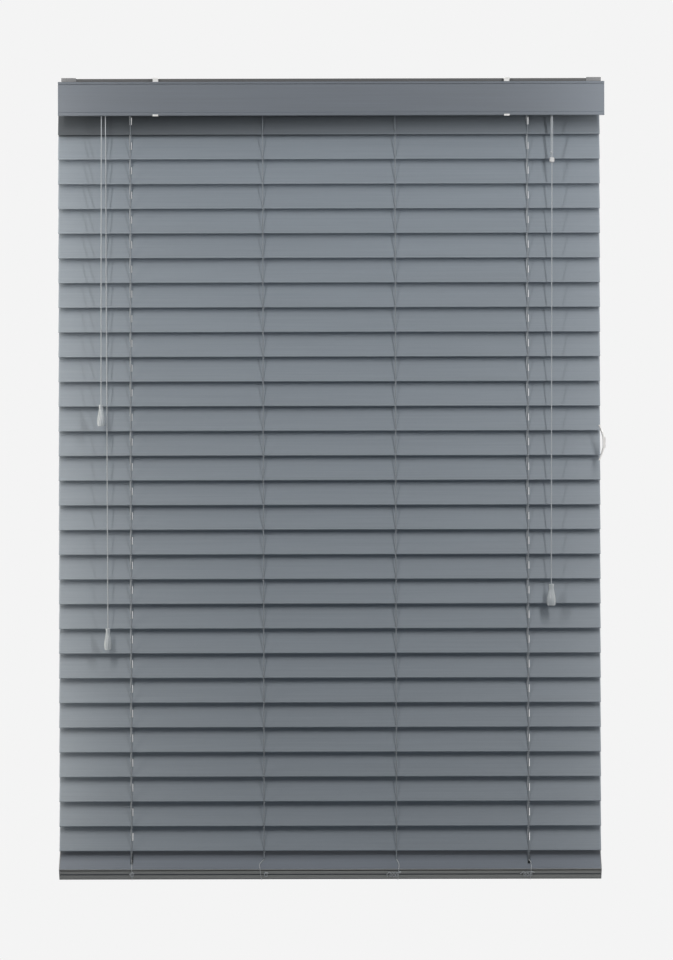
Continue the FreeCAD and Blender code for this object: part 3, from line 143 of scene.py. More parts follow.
def turned(place, radii, drops, around, flutes=0.0):
    """Point (i, j) = place + (r(i) cos a(j), -r(i) sin a(j), -drop(i)): a profile turned about a
    vertical axis, given in millimetres. It closes on itself. flutes(i, j) is added to r(i)."""
    a = angles(around)
    r = np.broadcast_to(np.asarray(radii, float)[:, None] + flutes, (len(radii), around))
    depth = np.broadcast_to(-np.asarray(drops, float)[:, None], r.shape)
    grid = np.stack([r * np.cos(a), -r * np.sin(a), depth], axis=2)
    return {"grid": metres(grid) + metres(place), "along": metres(drops), "loop": True}


# %% Faces on one grid
def faces_of(shape, start, loop):
    """Quads (i, j), (i, j+1), (i+1, j+1), (i+1, j). Without loop, a fan closes each end ring."""
    rows, cols = shape
    index = start + np.arange(rows * cols).reshape(rows, cols)
    beside = np.roll(index, -1, axis=1)
    above, above_beside = np.roll(index, -1, axis=0), np.roll(beside, -1, axis=0)
    keep = slice(None) if loop else slice(0, rows - 1)
    corners = [index[keep], beside[keep], above_beside[keep], above[keep]]
    quads = np.stack(corners, axis=2).reshape(-1, 4)
    if loop:
        return quads, np.zeros((0, 3), int)
    first, last = start + rows * cols, start + rows * cols + 1
    fans = [np.stack([np.full(cols, first), beside[0], index[0]], axis=1),
            np.stack([np.full(cols, last), index[-1], beside[-1]], axis=1)]
    return quads, np.concatenate(fans)


def uv_of(part, rows):
    """Each quad's four UV points: u = j / columns round the ring, and v = metres along it."""
    cols = part["grid"].shape[1]
    u0 = np.arange(cols) / cols
    u = np.stack([u0, u0 + 1 / cols, u0 + 1 / cols, u0], axis=1)
    v0, v1 = part["along"][:rows], np.roll(part["along"], -1)[:rows]
    v = np.stack([v0, v0, v1, v1], axis=1)
    uv = np.stack([np.broadcast_to(u[None], (rows, cols, 4)),
                   np.broadcast_to(v[:, None], (rows, cols, 4))], axis=3)
    return uv.reshape(-1, 2)


# %% One mesh out of many grids
def mesh_object(name, grids):
    """All grids in one mesh. Its UV map has u once round the ring and v in metres along it."""
    points, quads, fans, quad_uv, fan_uv, start = [], [], [], [], [], 0
    for part in grids:
        grid, loop = part["grid"], part["loop"]
        rows, cols = grid.shape[:2]
        q, f = faces_of((rows, cols), start, loop)
        points.append(grid.reshape(-1, 3))
        if not loop:
            points.append(np.stack([grid[0].mean(axis=0), grid[-1].mean(axis=0)]))
        start += rows * cols + (0 if loop else 2)
        quads.append(q)
        fans.append(f)
        quad_uv.append(uv_of(part, rows if loop else rows - 1))
        fan_uv.append(np.full((3 * len(f), 2), 0.5))
    quads, fans = np.concatenate(quads), np.concatenate(fans)
    mesh = bpy.data.meshes.new(name)
    mesh.from_pydata(np.concatenate(points).tolist(), [], quads.tolist() + fans.tolist())
    uv_map = mesh.uv_layers.new(name="UVMap")
    uv_map.data.foreach_set("uv", np.concatenate(quad_uv + fan_uv).astype(np.float32).ravel())
    mesh.polygons.foreach_set("use_smooth", np.ones(len(mesh.polygons), bool))
    mesh.update()
    made = bpy.data.objects.new(name, mesh)
    scene.collection.objects.link(made)
    print(name, "triangles", 2 * len(quads) + len(fans))
    return made


# %% [markdown]
# ## Braid and twist
# A blind's cord is an eight-strand braid: two sets of strands wind against each other, and each
# crossing is a small hill. A ladder string is two plies twisted together, so its section has two
# lobes that turn along it. Both are reliefs on the radius, deep enough to catch the light.

# %% Reliefs
CORD = 1.8  # diameter of the cords
BRAID_TURN, TWIST_TURN = 0.0036, 0.0048  # metres of length in one turn of the strands


def braid(radius):
    """r = R (0.95 + 0.05 cos(2a + w) cos(2a - w)), where w turns once in each turn of length."""
    def relief(a, s):
        w = 2 * np.pi * s / BRAID_TURN
        return radius / 1000 * (0.95 + 0.05 * np.cos(2 * a + w) * np.cos(2 * a - w))
    return relief


def twist(radius):
    """r = R (0.84 + 0.16 |cos(a - w)|): two lobes that turn once in each turn of length."""
    def relief(a, s):
        return radius / 1000 * (0.84 + 0.16 * np.abs(np.cos(a - 2 * np.pi * s / TWIST_TURN)))
    return relief


print("braid hills are", round(0.1 * CORD / 2, 2), "mm high")

# %% [markdown]
# ## A cord's own line
# A cord hangs from where it leaves the blind, in one smooth line. Few points say where it goes:
# the pulley or lock that it leaves, one close below it where the straight stretch starts, and the
# place where the tassel's weight pulls it plumb. A NURBS spline of order 3 makes the line.

# %% Spline through a route
def cord_line(name, route):
    """The points of a NURBS spline of order 3 that has the route as its control points."""
    curve = bpy.data.curves.new(name, "CURVE")
    curve.dimensions = "3D"
    curve.resolution_u = 16
    spline = curve.splines.new("NURBS")
    spline.points.add(len(route) - 1)
    spline.points.foreach_set("co", np.c_[route, np.ones(len(route))].ravel())
    spline.order_u = 3
    spline.use_endpoint_u = True
    holder = bpy.data.objects.new(name, curve)
    scene.collection.objects.link(holder)
    bpy.context.view_layer.update()
    plain = bpy.data.meshes.new_from_object(holder)
    line = np.empty(3 * len(plain.vertices))
    plain.vertices.foreach_get("co", line)
    bpy.data.objects.remove(holder)
    bpy.data.curves.remove(curve)
    bpy.data.meshes.remove(plain)
    return line.reshape(-1, 3)


RING_STEP = 0.0009  # metres from one ring of a cord's tube to the next


def cord_tube(name, line):
    """A braided tube along a cord's line."""
    return mesh_object(name, [tube(evenly(line, RING_STEP), braid(CORD / 2), 12)])


def length_of(line):
    """Length of a line in metres."""
    return float(distance_along(line)[-1])


# %% [markdown]
# ## The tilt cord
# One cord lies over the tilter's pulley. Its two ends hang down at the left, and pulling one
# turns every slat. The model holds it as two lengths, because one end goes down while the other
# comes up. The short end hangs 9 mm nearer the room, so the two tassels pass each other.

# %% Where the tassels hang, in millimetres
CORD_Y = -34.5
SHORT_Y = CORD_Y - 9
SHORT_X, LONG_X, PULL_X = -390.6, -380.14, 371.5
SHORT_TOP, LONG_TOP, PULL_TOP = -554, -933, -859  # the necks of the three tassels
KNOT_DROP = 26.64  # from a tassel's neck to the knot inside it
print("the long tassel hangs", SHORT_TOP - LONG_TOP, "mm below the short one")

# %% Routes of the two tilt cords
short_route = metres([
    (-389.36, CORD_Y, -33.1),
    (SHORT_X, SHORT_Y, -517),
    (SHORT_X, SHORT_Y, SHORT_TOP - KNOT_DROP),
])
long_route = metres([
    (-389.36, CORD_Y, -33),
    (-389.36, CORD_Y, -29.64),
    (-382.64, CORD_Y, -29.64),
    (-382.61, CORD_Y, -40.6),
    (LONG_X, CORD_Y, -896),
    (LONG_X, CORD_Y, LONG_TOP - KNOT_DROP),
])
short_line = cord_line("short_line", short_route)
long_line = cord_line("long_line", long_route)
tilt_short = cord_tube("tilt_cord_short_braid", short_line)
tilt_long = cord_tube("tilt_cord_long_braid", long_line)
print("tilt cords", round(length_of(short_line), 3), round(length_of(long_line), 3))

# %% [markdown]
# ## The lift cords and the pull cord
# Two lift cords are knotted in the bottom rail. They rise through the slats, run along the
# headrail and come out of the cord lock at the right. Below it they end in a small connector, and
# a single pull cord goes on to its tassel. They are taut, so points stand close to each corner.

# %% Routes of the lift cords and the pull cord
left_lift_route = metres([
    (-343.3, 0, RAIL_Z),
    (-343.3, 0, -60),
    (-341.5, 0, -47),
    (-341.5, 0, -36),
    (-330.5, -0.1, -36),
    (361.9, -5.9, -36),
    (372.9, -6, -36),
    (372.9, -17, -36),
    (372.9, -23.5, -36),
    (372.9, CORD_Y, -36),
    (372.9, CORD_Y, -47),
    (372.9, CORD_Y, -136),
])
right_lift_route = metres([
    (331.7, 0, RAIL_Z),
    (331.7, 0, -60),
    (333.5, 0, -47),
    (333.5, 0, -36),
    (344.5, 0, -36),
    (364.1, 0, -36),
    (375.1, 0, -36),
    (375.1, -11, -36),
    (375.1, -23.5, -36),
    (375.1, CORD_Y, -36),
    (375.1, CORD_Y, -47),
    (375.1, CORD_Y, -136),
])
pull_route = metres([
    (374, CORD_Y, -145.1),
    (PULL_X, CORD_Y, -822),
    (PULL_X, CORD_Y, PULL_TOP - KNOT_DROP),
])
left_lift_line = cord_line("left_lift_line", left_lift_route)
right_lift_line = cord_line("right_lift_line", right_lift_route)
pull_line = cord_line("pull_line", pull_route)
lift_left = cord_tube("lift_cord_left", left_lift_line)
lift_right = cord_tube("lift_cord_right", right_lift_line)
pull_cord = cord_tube("pull_cord_braid", pull_line)
print("lift cords", round(length_of(left_lift_line), 3), round(length_of(right_lift_line), 3))

# %% [markdown]
# ## Tassels
# A tassel is a moulded bell, 37 mm long and hollow from below. Fine flutes run down its belly, so
# that fingers can hold it. The cord enters through a bore in its neck and is knotted inside. The
# whole wall is one closed profile turned about the cord, and the flutes are added to the radius.

# %% Tassel profile
TASSEL, BORE, WALL = 37, 1.3, 1.2  # length, radius of the bore and thickness of the wall


def smooth(t):
    """3 t^2 - 2 t^3 with t held between 0 and 1: a step with soft ends."""
    t = np.clip(t, 0, 1)
    return t * t * (3 - 2 * t)


def bell(t, swell):
    """Outer radius in mm at the share t of the length, times swell: the neck is 3.9, the belly
    swells by a smooth step to 6.7 at 0.76, and a square curve brings the foot in by 1.2."""
    rise = 3.9 - 0.25 * smooth(t / 0.2) + 3.05 * smooth((t - 0.16) / 0.6)
    return swell * (rise - 1.2 * np.clip((t - 0.76) / 0.24, 0, 1) ** 2)


# %% A tassel from its profile
def tassel(name, x, y, top, swell=1.0):
    """A closed wall round the bell: over the neck, down the outside, round the foot, up inside and
    back through the bore. The flutes are -0.6 |sin 6a|^0.8, and fade at both ends of the belly."""
    t = np.linspace(0.012, 0.985, 44)
    outside = bell(t, swell) + 0.3 * np.exp(-((t - 0.05) / 0.035) ** 2)
    inside_t = np.linspace(0.995, 0.56, 14)
    inside = bell(inside_t, swell) - WALL
    neck, foot = bell(0.0, swell), bell(1.0, swell)
    radii = np.concatenate([[BORE, neck - 0.9, neck - 0.25], outside,
                            [foot - 0.45], inside, [BORE, BORE]])
    drops = np.concatenate([[0, 0, 0.2 / TASSEL], t, [1.0], inside_t, [0.55, 0.3]]) * TASSEL
    depth = np.zeros(len(radii))
    depth[3:3 + len(t)] = 0.6 * smooth((t - 0.18) / 0.12) * smooth((0.97 - t) / 0.06)
    flutes = -depth[:, None] * np.abs(np.sin(6 * angles(84))) ** 0.8
    return mesh_object(name, [turned((x, y, top), radii, drops, 84, flutes)])


short_tassel = tassel("tilt_tassel_short_bell", SHORT_X, SHORT_Y, SHORT_TOP)
long_tassel = tassel("tilt_tassel_long_bell", LONG_X, CORD_Y, LONG_TOP)
lift_tassel = tassel("lift_tassel_bell", PULL_X, CORD_Y, PULL_TOP, 1.22)

# %% [markdown]
# ## Knots and the connector
# Each cord ends in a tight overhand knot. A knot this small reads as a ball with one strand wound
# round it, so it is a ball whose radius waves along a spiral. The connector is a smooth bead in
# two halves, and its seam is a thin groove round the middle.

# %% Knots
def knot(name, centre, radius, tall=1.15):
    """r = R (0.92 + 0.13 cos(a - 4 pi t)) on a ball: t runs from the bottom pole to the top one,
    and tall stretches it upwards."""
    t = np.linspace(0.04, 0.96, 17)
    a = angles(16)
    r = radius * (0.92 + 0.13 * np.cos(a[None, :] - 4 * np.pi * t[:, None]))
    latitude = np.pi * (t[:, None] - 0.5)
    ring = np.stack([r * np.cos(latitude) * np.cos(a), r * np.cos(latitude) * np.sin(a),
                     tall * r * np.sin(latitude) * np.ones_like(a)], axis=2)
    ball = {"grid": metres(ring) + metres(centre), "along": metres(2 * radius * t), "loop": False}
    return mesh_object(name, [ball])


short_knot = knot("tilt_knot_short", (SHORT_X, SHORT_Y, SHORT_TOP - KNOT_DROP), 2.2)
long_knot = knot("tilt_knot_long", (LONG_X, CORD_Y, LONG_TOP - KNOT_DROP), 2.2)
pull_knot = knot("pull_knot", (PULL_X, CORD_Y, PULL_TOP - KNOT_DROP), 2.2)
lift_knot = knot("lift_cord_knot", (373.2, CORD_Y, -128.5), 2.7, 0.9)

# %% Connector bead
def bead(name, x, top, height, radius):
    """A barrel whose ends curve in: r = R (0.45 + 0.55 (1 - |2t - 1|^3.2)^(1 / 2.2)), less a seam
    0.16 mm deep at t = 0.5. A bore of 1.2 mm runs through it."""
    t = np.linspace(0.0, 1.0, 35)
    barrel = 0.45 * radius + 0.55 * radius * (1 - np.abs(2 * t - 1) ** 3.2) ** (1 / 2.2)
    barrel = barrel - 0.16 * np.exp(-((t - 0.5) / 0.022) ** 2)
    radii = np.concatenate([barrel, [1.2, 1.2]])
    drops = np.concatenate([t, [0.98, 0.02]]) * height
    return mesh_object(name, [turned((x, CORD_Y, top), radii, drops, 48)])


connector = bead("cord_connector_bead", 374.0, -136.0, 9.0, 4.4)

# %% [markdown]
# ## Ladder strings
# Four string ladders carry the slats. Each has a string on the room side and one on the window
# side. As the drums turn, one side goes up and the other down, so the two sides are two pieces on
# two bodies. Short lengths that never move join them to the drums and to the rail.

# %% Strings that move
STRING, LEAD, TAIL, LOOP = 0.85, 0.62, 0.6, 0.8  # radii over the lobes
STRING_STEP = 0.0008  # metres from one ring of a straight string to the next
STRING_OUT = STRING_Y + 0.12  # the strings only touch the slats' edges
FRONT_LOW, FRONT_HIGH = -1325.88, slat_z[0] - STRING_RISE
BACK_LOW, BACK_HIGH = -1269.5, -43.31


def upright(x, y, low, high, radius):
    """A straight twisted string from low to high, at one x and y."""
    line = evenly(metres([(x, y, low), (x, y, high)]), STRING_STEP)
    return tube(line, twist(radius), 8)


front_strings = mesh_object("front_ladder_strings", [
    upright(x, -STRING_OUT, FRONT_LOW, FRONT_HIGH, STRING) for x in LADDERS])
back_strings = mesh_object("back_ladder_strings", [
    upright(x, STRING_OUT, BACK_LOW, BACK_HIGH, STRING) for x in LADDERS])

# %% Leads over the drums, and feet above the rail
DRUM_Z, WRAP = -19.4, 12.0
FOOT_LOW, FOOT_HIGH = -1331.0, -1264.0


def drum_lead(x):
    """Up one side, over the drum and down the other. The string touches the drum where the line
    from (y, z) meets the circle at a right angle to its radius."""
    y, z = STRING_OUT, BACK_HIGH
    reach = math.hypot(y, z - DRUM_Z)
    touch = math.atan2(z - DRUM_Z, y) + math.acos(WRAP / reach)
    arc = np.linspace(math.pi - touch, touch, 33)
    over = np.stack([np.full(33, x), WRAP * np.cos(arc), DRUM_Z + WRAP * np.sin(arc)], axis=1)
    rise, fall = [(x, -y, FRONT_HIGH), (x, -y, z)], [(x, y, z), (x, y, FRONT_HIGH)]
    line = evenly(metres(np.concatenate([rise, over, fall])), RING_STEP)
    return tube(line, twist(LEAD), 6, up=(1.0, 0.001, 0.001))


leads = mesh_object("ladder_leads", [drum_lead(x) for x in LADDERS])
feet = mesh_object("ladder_feet", [
    upright(x, y, FOOT_LOW, FOOT_HIGH, LEAD) for x in LADDERS for y in (-STRING_OUT, STRING_OUT)])

# %% [markdown]
# ## Ladder tails on the bottom rail
# At the bottom each string crosses the rail's top, goes round its edge and is held by a plug
# underneath. What is left over is tied in loose loops on the room edge. They ride on the rail.
# A point is given across and up the rail, and the rail's turn carries it into place.

# %% Tails
def on_rail(points):
    """(x, across, up) to (x, y, z): turned about the rail's long axis, then moved to its height."""
    x, a, u = np.array(points, float).T
    c, s = math.cos(RAIL_TURN), math.sin(RAIL_TURN)
    return np.stack([x, a * c - u * s, RAIL_Z + a * s + u * c], axis=1)


ON_TOP, AT_EDGE = 13.15, 25.65  # how far a tail lies from the rail's middle
# Each point of the route is a share of the kink along the rail, then across and up in millimetres.
TAIL_ROUTE = ((0, 2.36, ON_TOP), (1.0, 12, ON_TOP), (0.85, 22.9, ON_TOP), (0.8, AT_EDGE, ON_TOP),
              (0.8, AT_EDGE, 10.4), (0.6, AT_EDGE, -8.5), (0.5, 25.45, -12.9), (0.5, 20.5, -13.1),
              (0, 8.2, -ON_TOP))
KINKS = (0.6, -8.5, 4.4, 4.0)


def tail(x, side, kink=0.0):
    """Across the top, round the edge and under the rail. side is -1 at the room, 1 at the window,
    and kink is how far it strays along the rail on its way."""
    route = on_rail([(x + kink * share, side * a, u) for share, a, u in TAIL_ROUTE])
    return tube(evenly(cord_line("tail", metres(route)), RING_STEP), twist(TAIL), 6)


tails = mesh_object("ladder_tails", [tail(x, -1, kink) for x, kink in zip(LADDERS, KINKS)]
                    + [tail(x, 1) for x in LADDERS])

# %% Loops and their knots
def loops(x, start, wide, tall, turns, up):
    """A coil that lies along the room edge: x = x0 - w t + 3 k cos q and up = u + h k sin q, where
    t runs from 0 to 1 as q goes round, and k = 1 - 0.25 t sin^2(2.3 q) makes the turns unequal."""
    t = np.linspace(0, 1, int(36 * turns) + 1)
    q = 2 * np.pi * turns * t + 0.6
    shrink = 1 - 0.25 * t * np.sin(2.3 * q) ** 2
    out = 25.8 + 0.6 * np.sin(q / 2) ** 2
    points = np.stack([x + start - wide * t + 3.0 * shrink * np.cos(q),
                       -out, up + tall * shrink * np.sin(q)], axis=1)
    return tube(metres(on_rail(points)), twist(LOOP), 6, up=(0.2, 1.0, 0.3))


coils = mesh_object("ladder_loops", [
    loops(LADDERS[0], 2.0, 3.0, 4.5, 1.4, 0.3),
    loops(LADDERS[1], 4.5, 3.0, 5.0, 1.3, 0.3),
    loops(LADDERS[2], 3.5, 18.0, 5.4, 3.6, 0.3),
    loops(LADDERS[3], 6.5, 18.0, 5.2, 3.4, 1.0),
])
rail_knots = [knot("ladder_knot_%d" % (i + 1), on_rail([(LADDERS[i] + dx, -26.6, 6.2)])[0], r)
              for i, (dx, r) in enumerate(((1.2, 1.3), (3.0, 1.3), (5.5, 1.9), (4.0, 1.6)))]

# %% [markdown]
# ## Rungs
# Under each slat every ladder has one rung, a thinner string that is knotted to both sides. It
# passes the lift cord on alternate sides, so the slat can't slip out. There are 120 of them, so
# each has only a few faces, and its knots are just a thicker place at each end of the tube.

# %% Rungs under every slat
RUNG_Y = np.array([-30.9, -30.2, -29.4, -28.4, -26, -24, 24, 26, 28.4, 29.4, 30.2, 30.9])


def rung(ladder, slat):
    """y from -30.9 to 30.9 mm. The middle lies 1.95 mm under the slat's and 2.8 mm beside the
    strings, and the last 6 mm come in to them. r = 0.4 + 0.5 exp(-((|y| - 30.1) / 0.8)^2)."""
    beside = smooth((STRING_REACH - np.abs(RUNG_Y)) / 6)
    side = 1 if (ladder + slat) % 2 == 0 else -1
    x, y, z = side * 2.8 * beside, RUNG_Y, -1.95 * beside
    c, s = math.cos(CLOSED), math.sin(CLOSED)
    line = np.stack([LADDERS[ladder] + x, y * c - z * s, slat_z[slat] + y * s + z * c], axis=1)
    thick = 0.4 + 0.5 * np.exp(-((np.abs(y) - 30.1) / 0.8) ** 2)
    return tube(metres(line), metres(thick), 4, up=(1.0, 0.0, 0.0))


rungs = [mesh_object("rungs_%02d" % (k + 1), [rung(i, k) for i in range(len(LADDERS))])
         for k in range(SLATS)]

# %% [markdown]
# ## Who moves with what
# Each piece rides on the body that carries it, and stands for the CAD solid that it replaces.
# The two tilt cords cross a sliding joint, so they ride on no body.

# %% Bodies, and the solids that are replaced
for piece, body, node in ((front_strings, "front_strings", "ladder_front_strings"),
                          (back_strings, "back_strings", "ladder_back_strings"),
                          (leads, "fixed", "ladder_ends"), (feet, "fixed", "ladder_ends"),
                          (tails, "rail", "ladder_ends"), (coils, "rail", "ladder_ends"),
                          (short_tassel, "short_tassel", "tilt_tassel_short"),
                          (short_knot, "short_tassel", "tilt_cord_short"),
                          (long_tassel, "long_tassel", "tilt_tassel_long"),
                          (long_knot, "long_tassel", "tilt_cord_long"),
                          (lift_tassel, "fixed", "lift_tassel"),
                          (pull_knot, "fixed", "lift_pull_cord"),
                          (pull_cord, "fixed", "lift_pull_cord"),
                          (lift_knot, "fixed", "lift_cords"), (lift_left, "fixed", "lift_cords"),
                          (lift_right, "fixed", "lift_cords"),
                          (connector, "fixed", "cord_connector")):
    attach(piece, body)
    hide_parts(node)
for made in rail_knots:
    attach(made, "rail")
    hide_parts("ladder_ends")
for k, made in enumerate(rungs):
    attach(made, "slat_%02d" % (k + 1))
    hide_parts("ladder_rungs")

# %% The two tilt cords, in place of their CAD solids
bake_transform(tilt_short)
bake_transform(tilt_long)
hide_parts("tilt_cord_short")
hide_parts("tilt_cord_long")

# %% Lengths of the cords
for made, line, far_end, lay, ends in (
        (tilt_short, short_line, "knot", "hanging", [short_tassel, short_knot]),
        (tilt_long, long_line, "knot", "hanging", [long_tassel, long_knot]),
        (pull_cord, pull_line, "knot", "hanging", [lift_tassel, pull_knot]),
        (lift_left, left_lift_line, "connector", "taut", [connector, lift_knot]),
        (lift_right, right_lift_line, "connector", "taut", [connector, lift_knot])):
    print("cord", made.name, round(length_of(line), 3), "m")

# %% [markdown]
# ## Writing materials
# A material is a small sum: a base tone, a pattern that changes it, and a bump. Python can write
# the sum if a socket knows plus, minus and times. One class wraps a socket and adds Math nodes,
# and one method makes every other node, for materials and for the world alike. Colours go through
# Mix, because Math turns them grey.

# %% A socket with arithmetic
class Socket:
    """An output of a shader node. Sums and products with it add Math nodes to its graph."""

    def __init__(self, graph, output):
        self.graph, self.output = graph, output

    def math(self, operation, *terms):
        """One Math node, with its terms in order."""
        return self.graph.add("ShaderNodeMath", {"operation": operation}, dict(enumerate(terms)))

    def __add__(self, other): return self.math("ADD", self, other)
    def __radd__(self, other): return self.math("ADD", other, self)
    def __sub__(self, other): return self.math("SUBTRACT", self, other)
    def __rsub__(self, other): return self.math("SUBTRACT", other, self)
    def __mul__(self, other): return self.math("MULTIPLY", self, other)
    def __rmul__(self, other): return self.math("MULTIPLY", other, self)
    def __pow__(self, other): return self.math("POWER", self, other)
    def __rpow__(self, other): return self.math("POWER", other, self)

    def cosine(self):
        """The cosine of a value in radians."""
        return self.math("COSINE", self)

    def step(self, low, high):
        """0 below low, 1 above high and a soft rise between them."""
        return self.graph.add("ShaderNodeMapRange", {"interpolation_type": "SMOOTHSTEP"},
                              {"Value": self, "From Min": low, "From Max": high})


# %% A graph of nodes
class Graph:
    """The nodes of a material or of the world. add() makes any node."""

    def __init__(self, tree):
        self.tree = tree

    def join(self, value, socket):
        """Link a Socket, or set a plain value. A colour of three numbers gets an alpha of 1."""
        if isinstance(value, Socket):
            self.tree.links.new(value.output, socket)
        elif socket.type == "RGBA" and len(value) == 3:
            socket.default_value = (*value, 1)
        else:
            socket.default_value = value

    def add(self, kind, settings=None, sockets=None, out=0):
        """A node of this kind: its settings first, then the values or links of its sockets."""
        made = self.tree.nodes.new(kind)
        for key, value in (settings or {}).items():
            setattr(made, key, value)
        for key, value in (sockets or {}).items():
            self.join(value, made.inputs[key])
        return Socket(self, made.outputs[out]) if made.outputs else None

    def rays(self, *kinds):
        """1 for a ray of any of these kinds, such as Camera, and 0 for the others."""
        found = [self.add("ShaderNodeLightPath", out="Is %s Ray" % kind) for kind in kinds]
        while len(found) > 1:
            last = found.pop()
            found[-1] = last.math("MAXIMUM", found[-1], last)
        return found[0]


# %% A finish on the standard shader
class Finish(Graph):
    """A material. Its constants go straight to the shader, and its methods are patterns."""

    def __init__(self, name, **constants):
        self.material = bpy.data.materials.new(name)
        self.material.use_nodes = True
        super().__init__(self.material.node_tree)
        self.shader = self.tree.nodes["Principled BSDF"]
        for key, value in constants.items():
            self.feed(key.replace("_", " ").title(), value)
        print("finish", name)

    def feed(self, socket, value):
        """Give the shader's own socket a value or a pattern."""
        self.join(value, self.shader.inputs[socket])

    def place(self, axis, coordinate="Object"):
        """One of the object's own coordinates in metres, or of its UV map."""
        where = self.add("ShaderNodeTexCoord", out=coordinate)
        return self.add("ShaderNodeSeparateXYZ", {}, {"Vector": where}, out=axis)

    def noise(self, stretch, detail=2.0, rough=0.5):
        """Soft noise from 0 to 1. stretch is how many lumps there are in a metre on each axis."""
        where = self.add("ShaderNodeTexCoord", out="Object")
        sized = self.add("ShaderNodeMapping", {}, {"Vector": where, "Scale": stretch})
        return self.add("ShaderNodeTexNoise", {"noise_dimensions": "3D"},
                        {"Vector": sized, "Scale": 1.0, "Detail": detail, "Roughness": rough})

    def mix(self, factor, a, b):
        """Colour a where the factor is 0 and b where it is 1."""
        return self.add("ShaderNodeMix", {"data_type": "RGBA", "clamp_factor": True},
                        {0: factor, 6: a, 7: b}, out=2)

    def bump(self, height, distance):
        """Relief in metres: distance times the height, which runs from 0 to 1."""
        self.feed("Normal", self.add("ShaderNodeBump", {}, {
            "Height": height, "Distance": distance, "Strength": 1.0}))


# %% Colours from one colour
def times(colour, share):
    """A colour with every channel multiplied by one share."""
    return tuple(c * share for c in colour)


def tones(colour, share):
    """A colour made darker and lighter by one share."""
    return times(colour, 1 - share), times(colour, 1 + share)


# %% [markdown]
# ## Slats, valance and rail
# They are moulded in grey plastic that imitates painted wood. Long streaks run with the grain,
# the sheen is satin, and the tone drifts a little from slat to slat. Each kind of part gets its
# own painted highlights and painted shade, from a function of its own that the finish calls.

# %% Painted plastic
def painted_wood(name, colour, light_and_shade=None):
    """Satin plastic with a streaky grain along X: 0.5 streak + 0.36 drift + 0.14 fine. The last
    argument takes the finish, the base tone and the colour, and adds painted light and shade."""
    finish = Finish(name)
    streak = finish.noise((5, 420, 420), 4, 0.6)
    drift = finish.noise((2.2, 7, 24))
    fine = finish.noise((160, 1500, 1500))
    shade = streak * 0.5 + drift * 0.36 + fine * 0.14
    base = finish.mix(shade.step(0.3, 0.7), *tones(colour, 0.07))
    finish.feed("Base Color", light_and_shade(finish, base, colour) if light_and_shade else base)
    finish.feed("Roughness", 0.42 + 0.16 * streak)
    finish.bump(streak * 0.75 + fine * 0.25, 0.00012)
    return finish.material


# %% Painted light and shade on slats and on the valance
def slat_painted_light(finish, base, colour):
    """Painted highlights make a slat's room edge and its ends paler. All closed slats lie alike, so
    y alone finds the edge. Above z = -0.0965 is the top slat. It gets a painted shadow of the
    valance, most of all at its left end."""
    y, x = finish.place("Y"), finish.place("X")
    edge = 1 - y.step(-0.00985, -0.0091)
    ends = x.step(0.4525, 0.4555) + (1 - x.step(-0.4635, -0.461))
    # Painted highlights on the room edge and on both ends.
    base = finish.mix(edge * 0.4 + ends * 0.4, base, times(colour, 1.5))
    # The valance's painted shadow on the top slat, deeper towards the left.
    shaded = finish.place("Z").step(-0.0985, -0.0945)
    return finish.mix(shaded * (0.5 - 0.62 * x), base, times(colour, 0.1))


def valance_painted_light(finish, base, colour):
    """Painted light makes the board paler towards its ends, from 0.24 m out, and more at the right.
    """
    x = finish.place("X")
    outer = (x * x).step(0.06, 0.21)
    return finish.mix(outer * (0.3 + 0.35 * x), base, times(colour, 1.7))


# %% Painted shade and light on the bottom rail
def rail_painted_shade_and_light(finish, base, colour):
    """Painted shade darkens the two grooves of the room edge, the place under its lip, and the
    rail's top towards the last slat, where that slat's shadow falls. Painted light makes the edge's
    face paler. outward and up turn with the rail."""
    y, z = finish.place("Y"), finish.place("Z") - RAIL_Z / 1000
    c, s = math.cos(RAIL_TURN), math.sin(RAIL_TURN)
    outward, up = y * c + z * s, z * c - y * s
    face = 1 - outward.step(-0.0249, -0.0243)
    inside = 1 - outward.step(-0.0236, -0.0230)
    upper = up.step(0.0074, 0.0080) * (1 - up.step(0.0103, 0.0109)) * inside
    middle = up.step(-0.0022, -0.0014) * (1 - up.step(0.0014, 0.0022)) * inside
    lip = (1 - up.step(-0.0112, -0.0098)) * inside
    top = up.step(0.0115, 0.0125) * (outward + 0.006) * 26
    # Painted shadow on the top, painted shade in grooves and under the lip, painted light on the
    # face.
    base = finish.mix(top, base, times(colour, 0.1))
    base = finish.mix(middle * 0.45 + lip * 0.95 + upper * 0.97, base, times(colour, 0.05))
    return finish.mix(face * up.step(-0.0108, -0.0090) * 0.6, base, (0.49, 0.49, 0.455))


slat_finish = painted_wood("slat_plastic", (0.229, 0.265, 0.305), slat_painted_light)
board_finish = painted_wood("valance_plastic", (0.129, 0.149, 0.177), valance_painted_light)
rail_finish = painted_wood("rail_plastic", (0.198, 0.226, 0.268), rail_painted_shade_and_light)
cap_finish = painted_wood("cap_plastic", (0.26, 0.275, 0.285))

# %% [markdown]
# ## Painted and plated steel
# The headrail is rolled steel with a baked grey paint, and its brackets are lighter. Paint on
# steel has an orange-peel surface of small soft hills. The rod is galvanised, which shows as
# angular crystals, and the cord lock is plated and brushed by its press tool.

# %% Paint and zinc
def baked_paint(name, colour, rough):
    """Paint with orange peel: soft hills 1.5 mm wide, and a slight drift in tone."""
    finish = Finish(name)
    peel, drift = finish.noise((650, 650, 650), 1), finish.noise((9, 30, 30))
    finish.feed("Base Color", finish.mix(drift.step(0.3, 0.7), *tones(colour, 0.10)))
    finish.feed("Roughness", rough + 0.1 * drift)
    finish.bump(peel, 0.00006)
    return finish.material


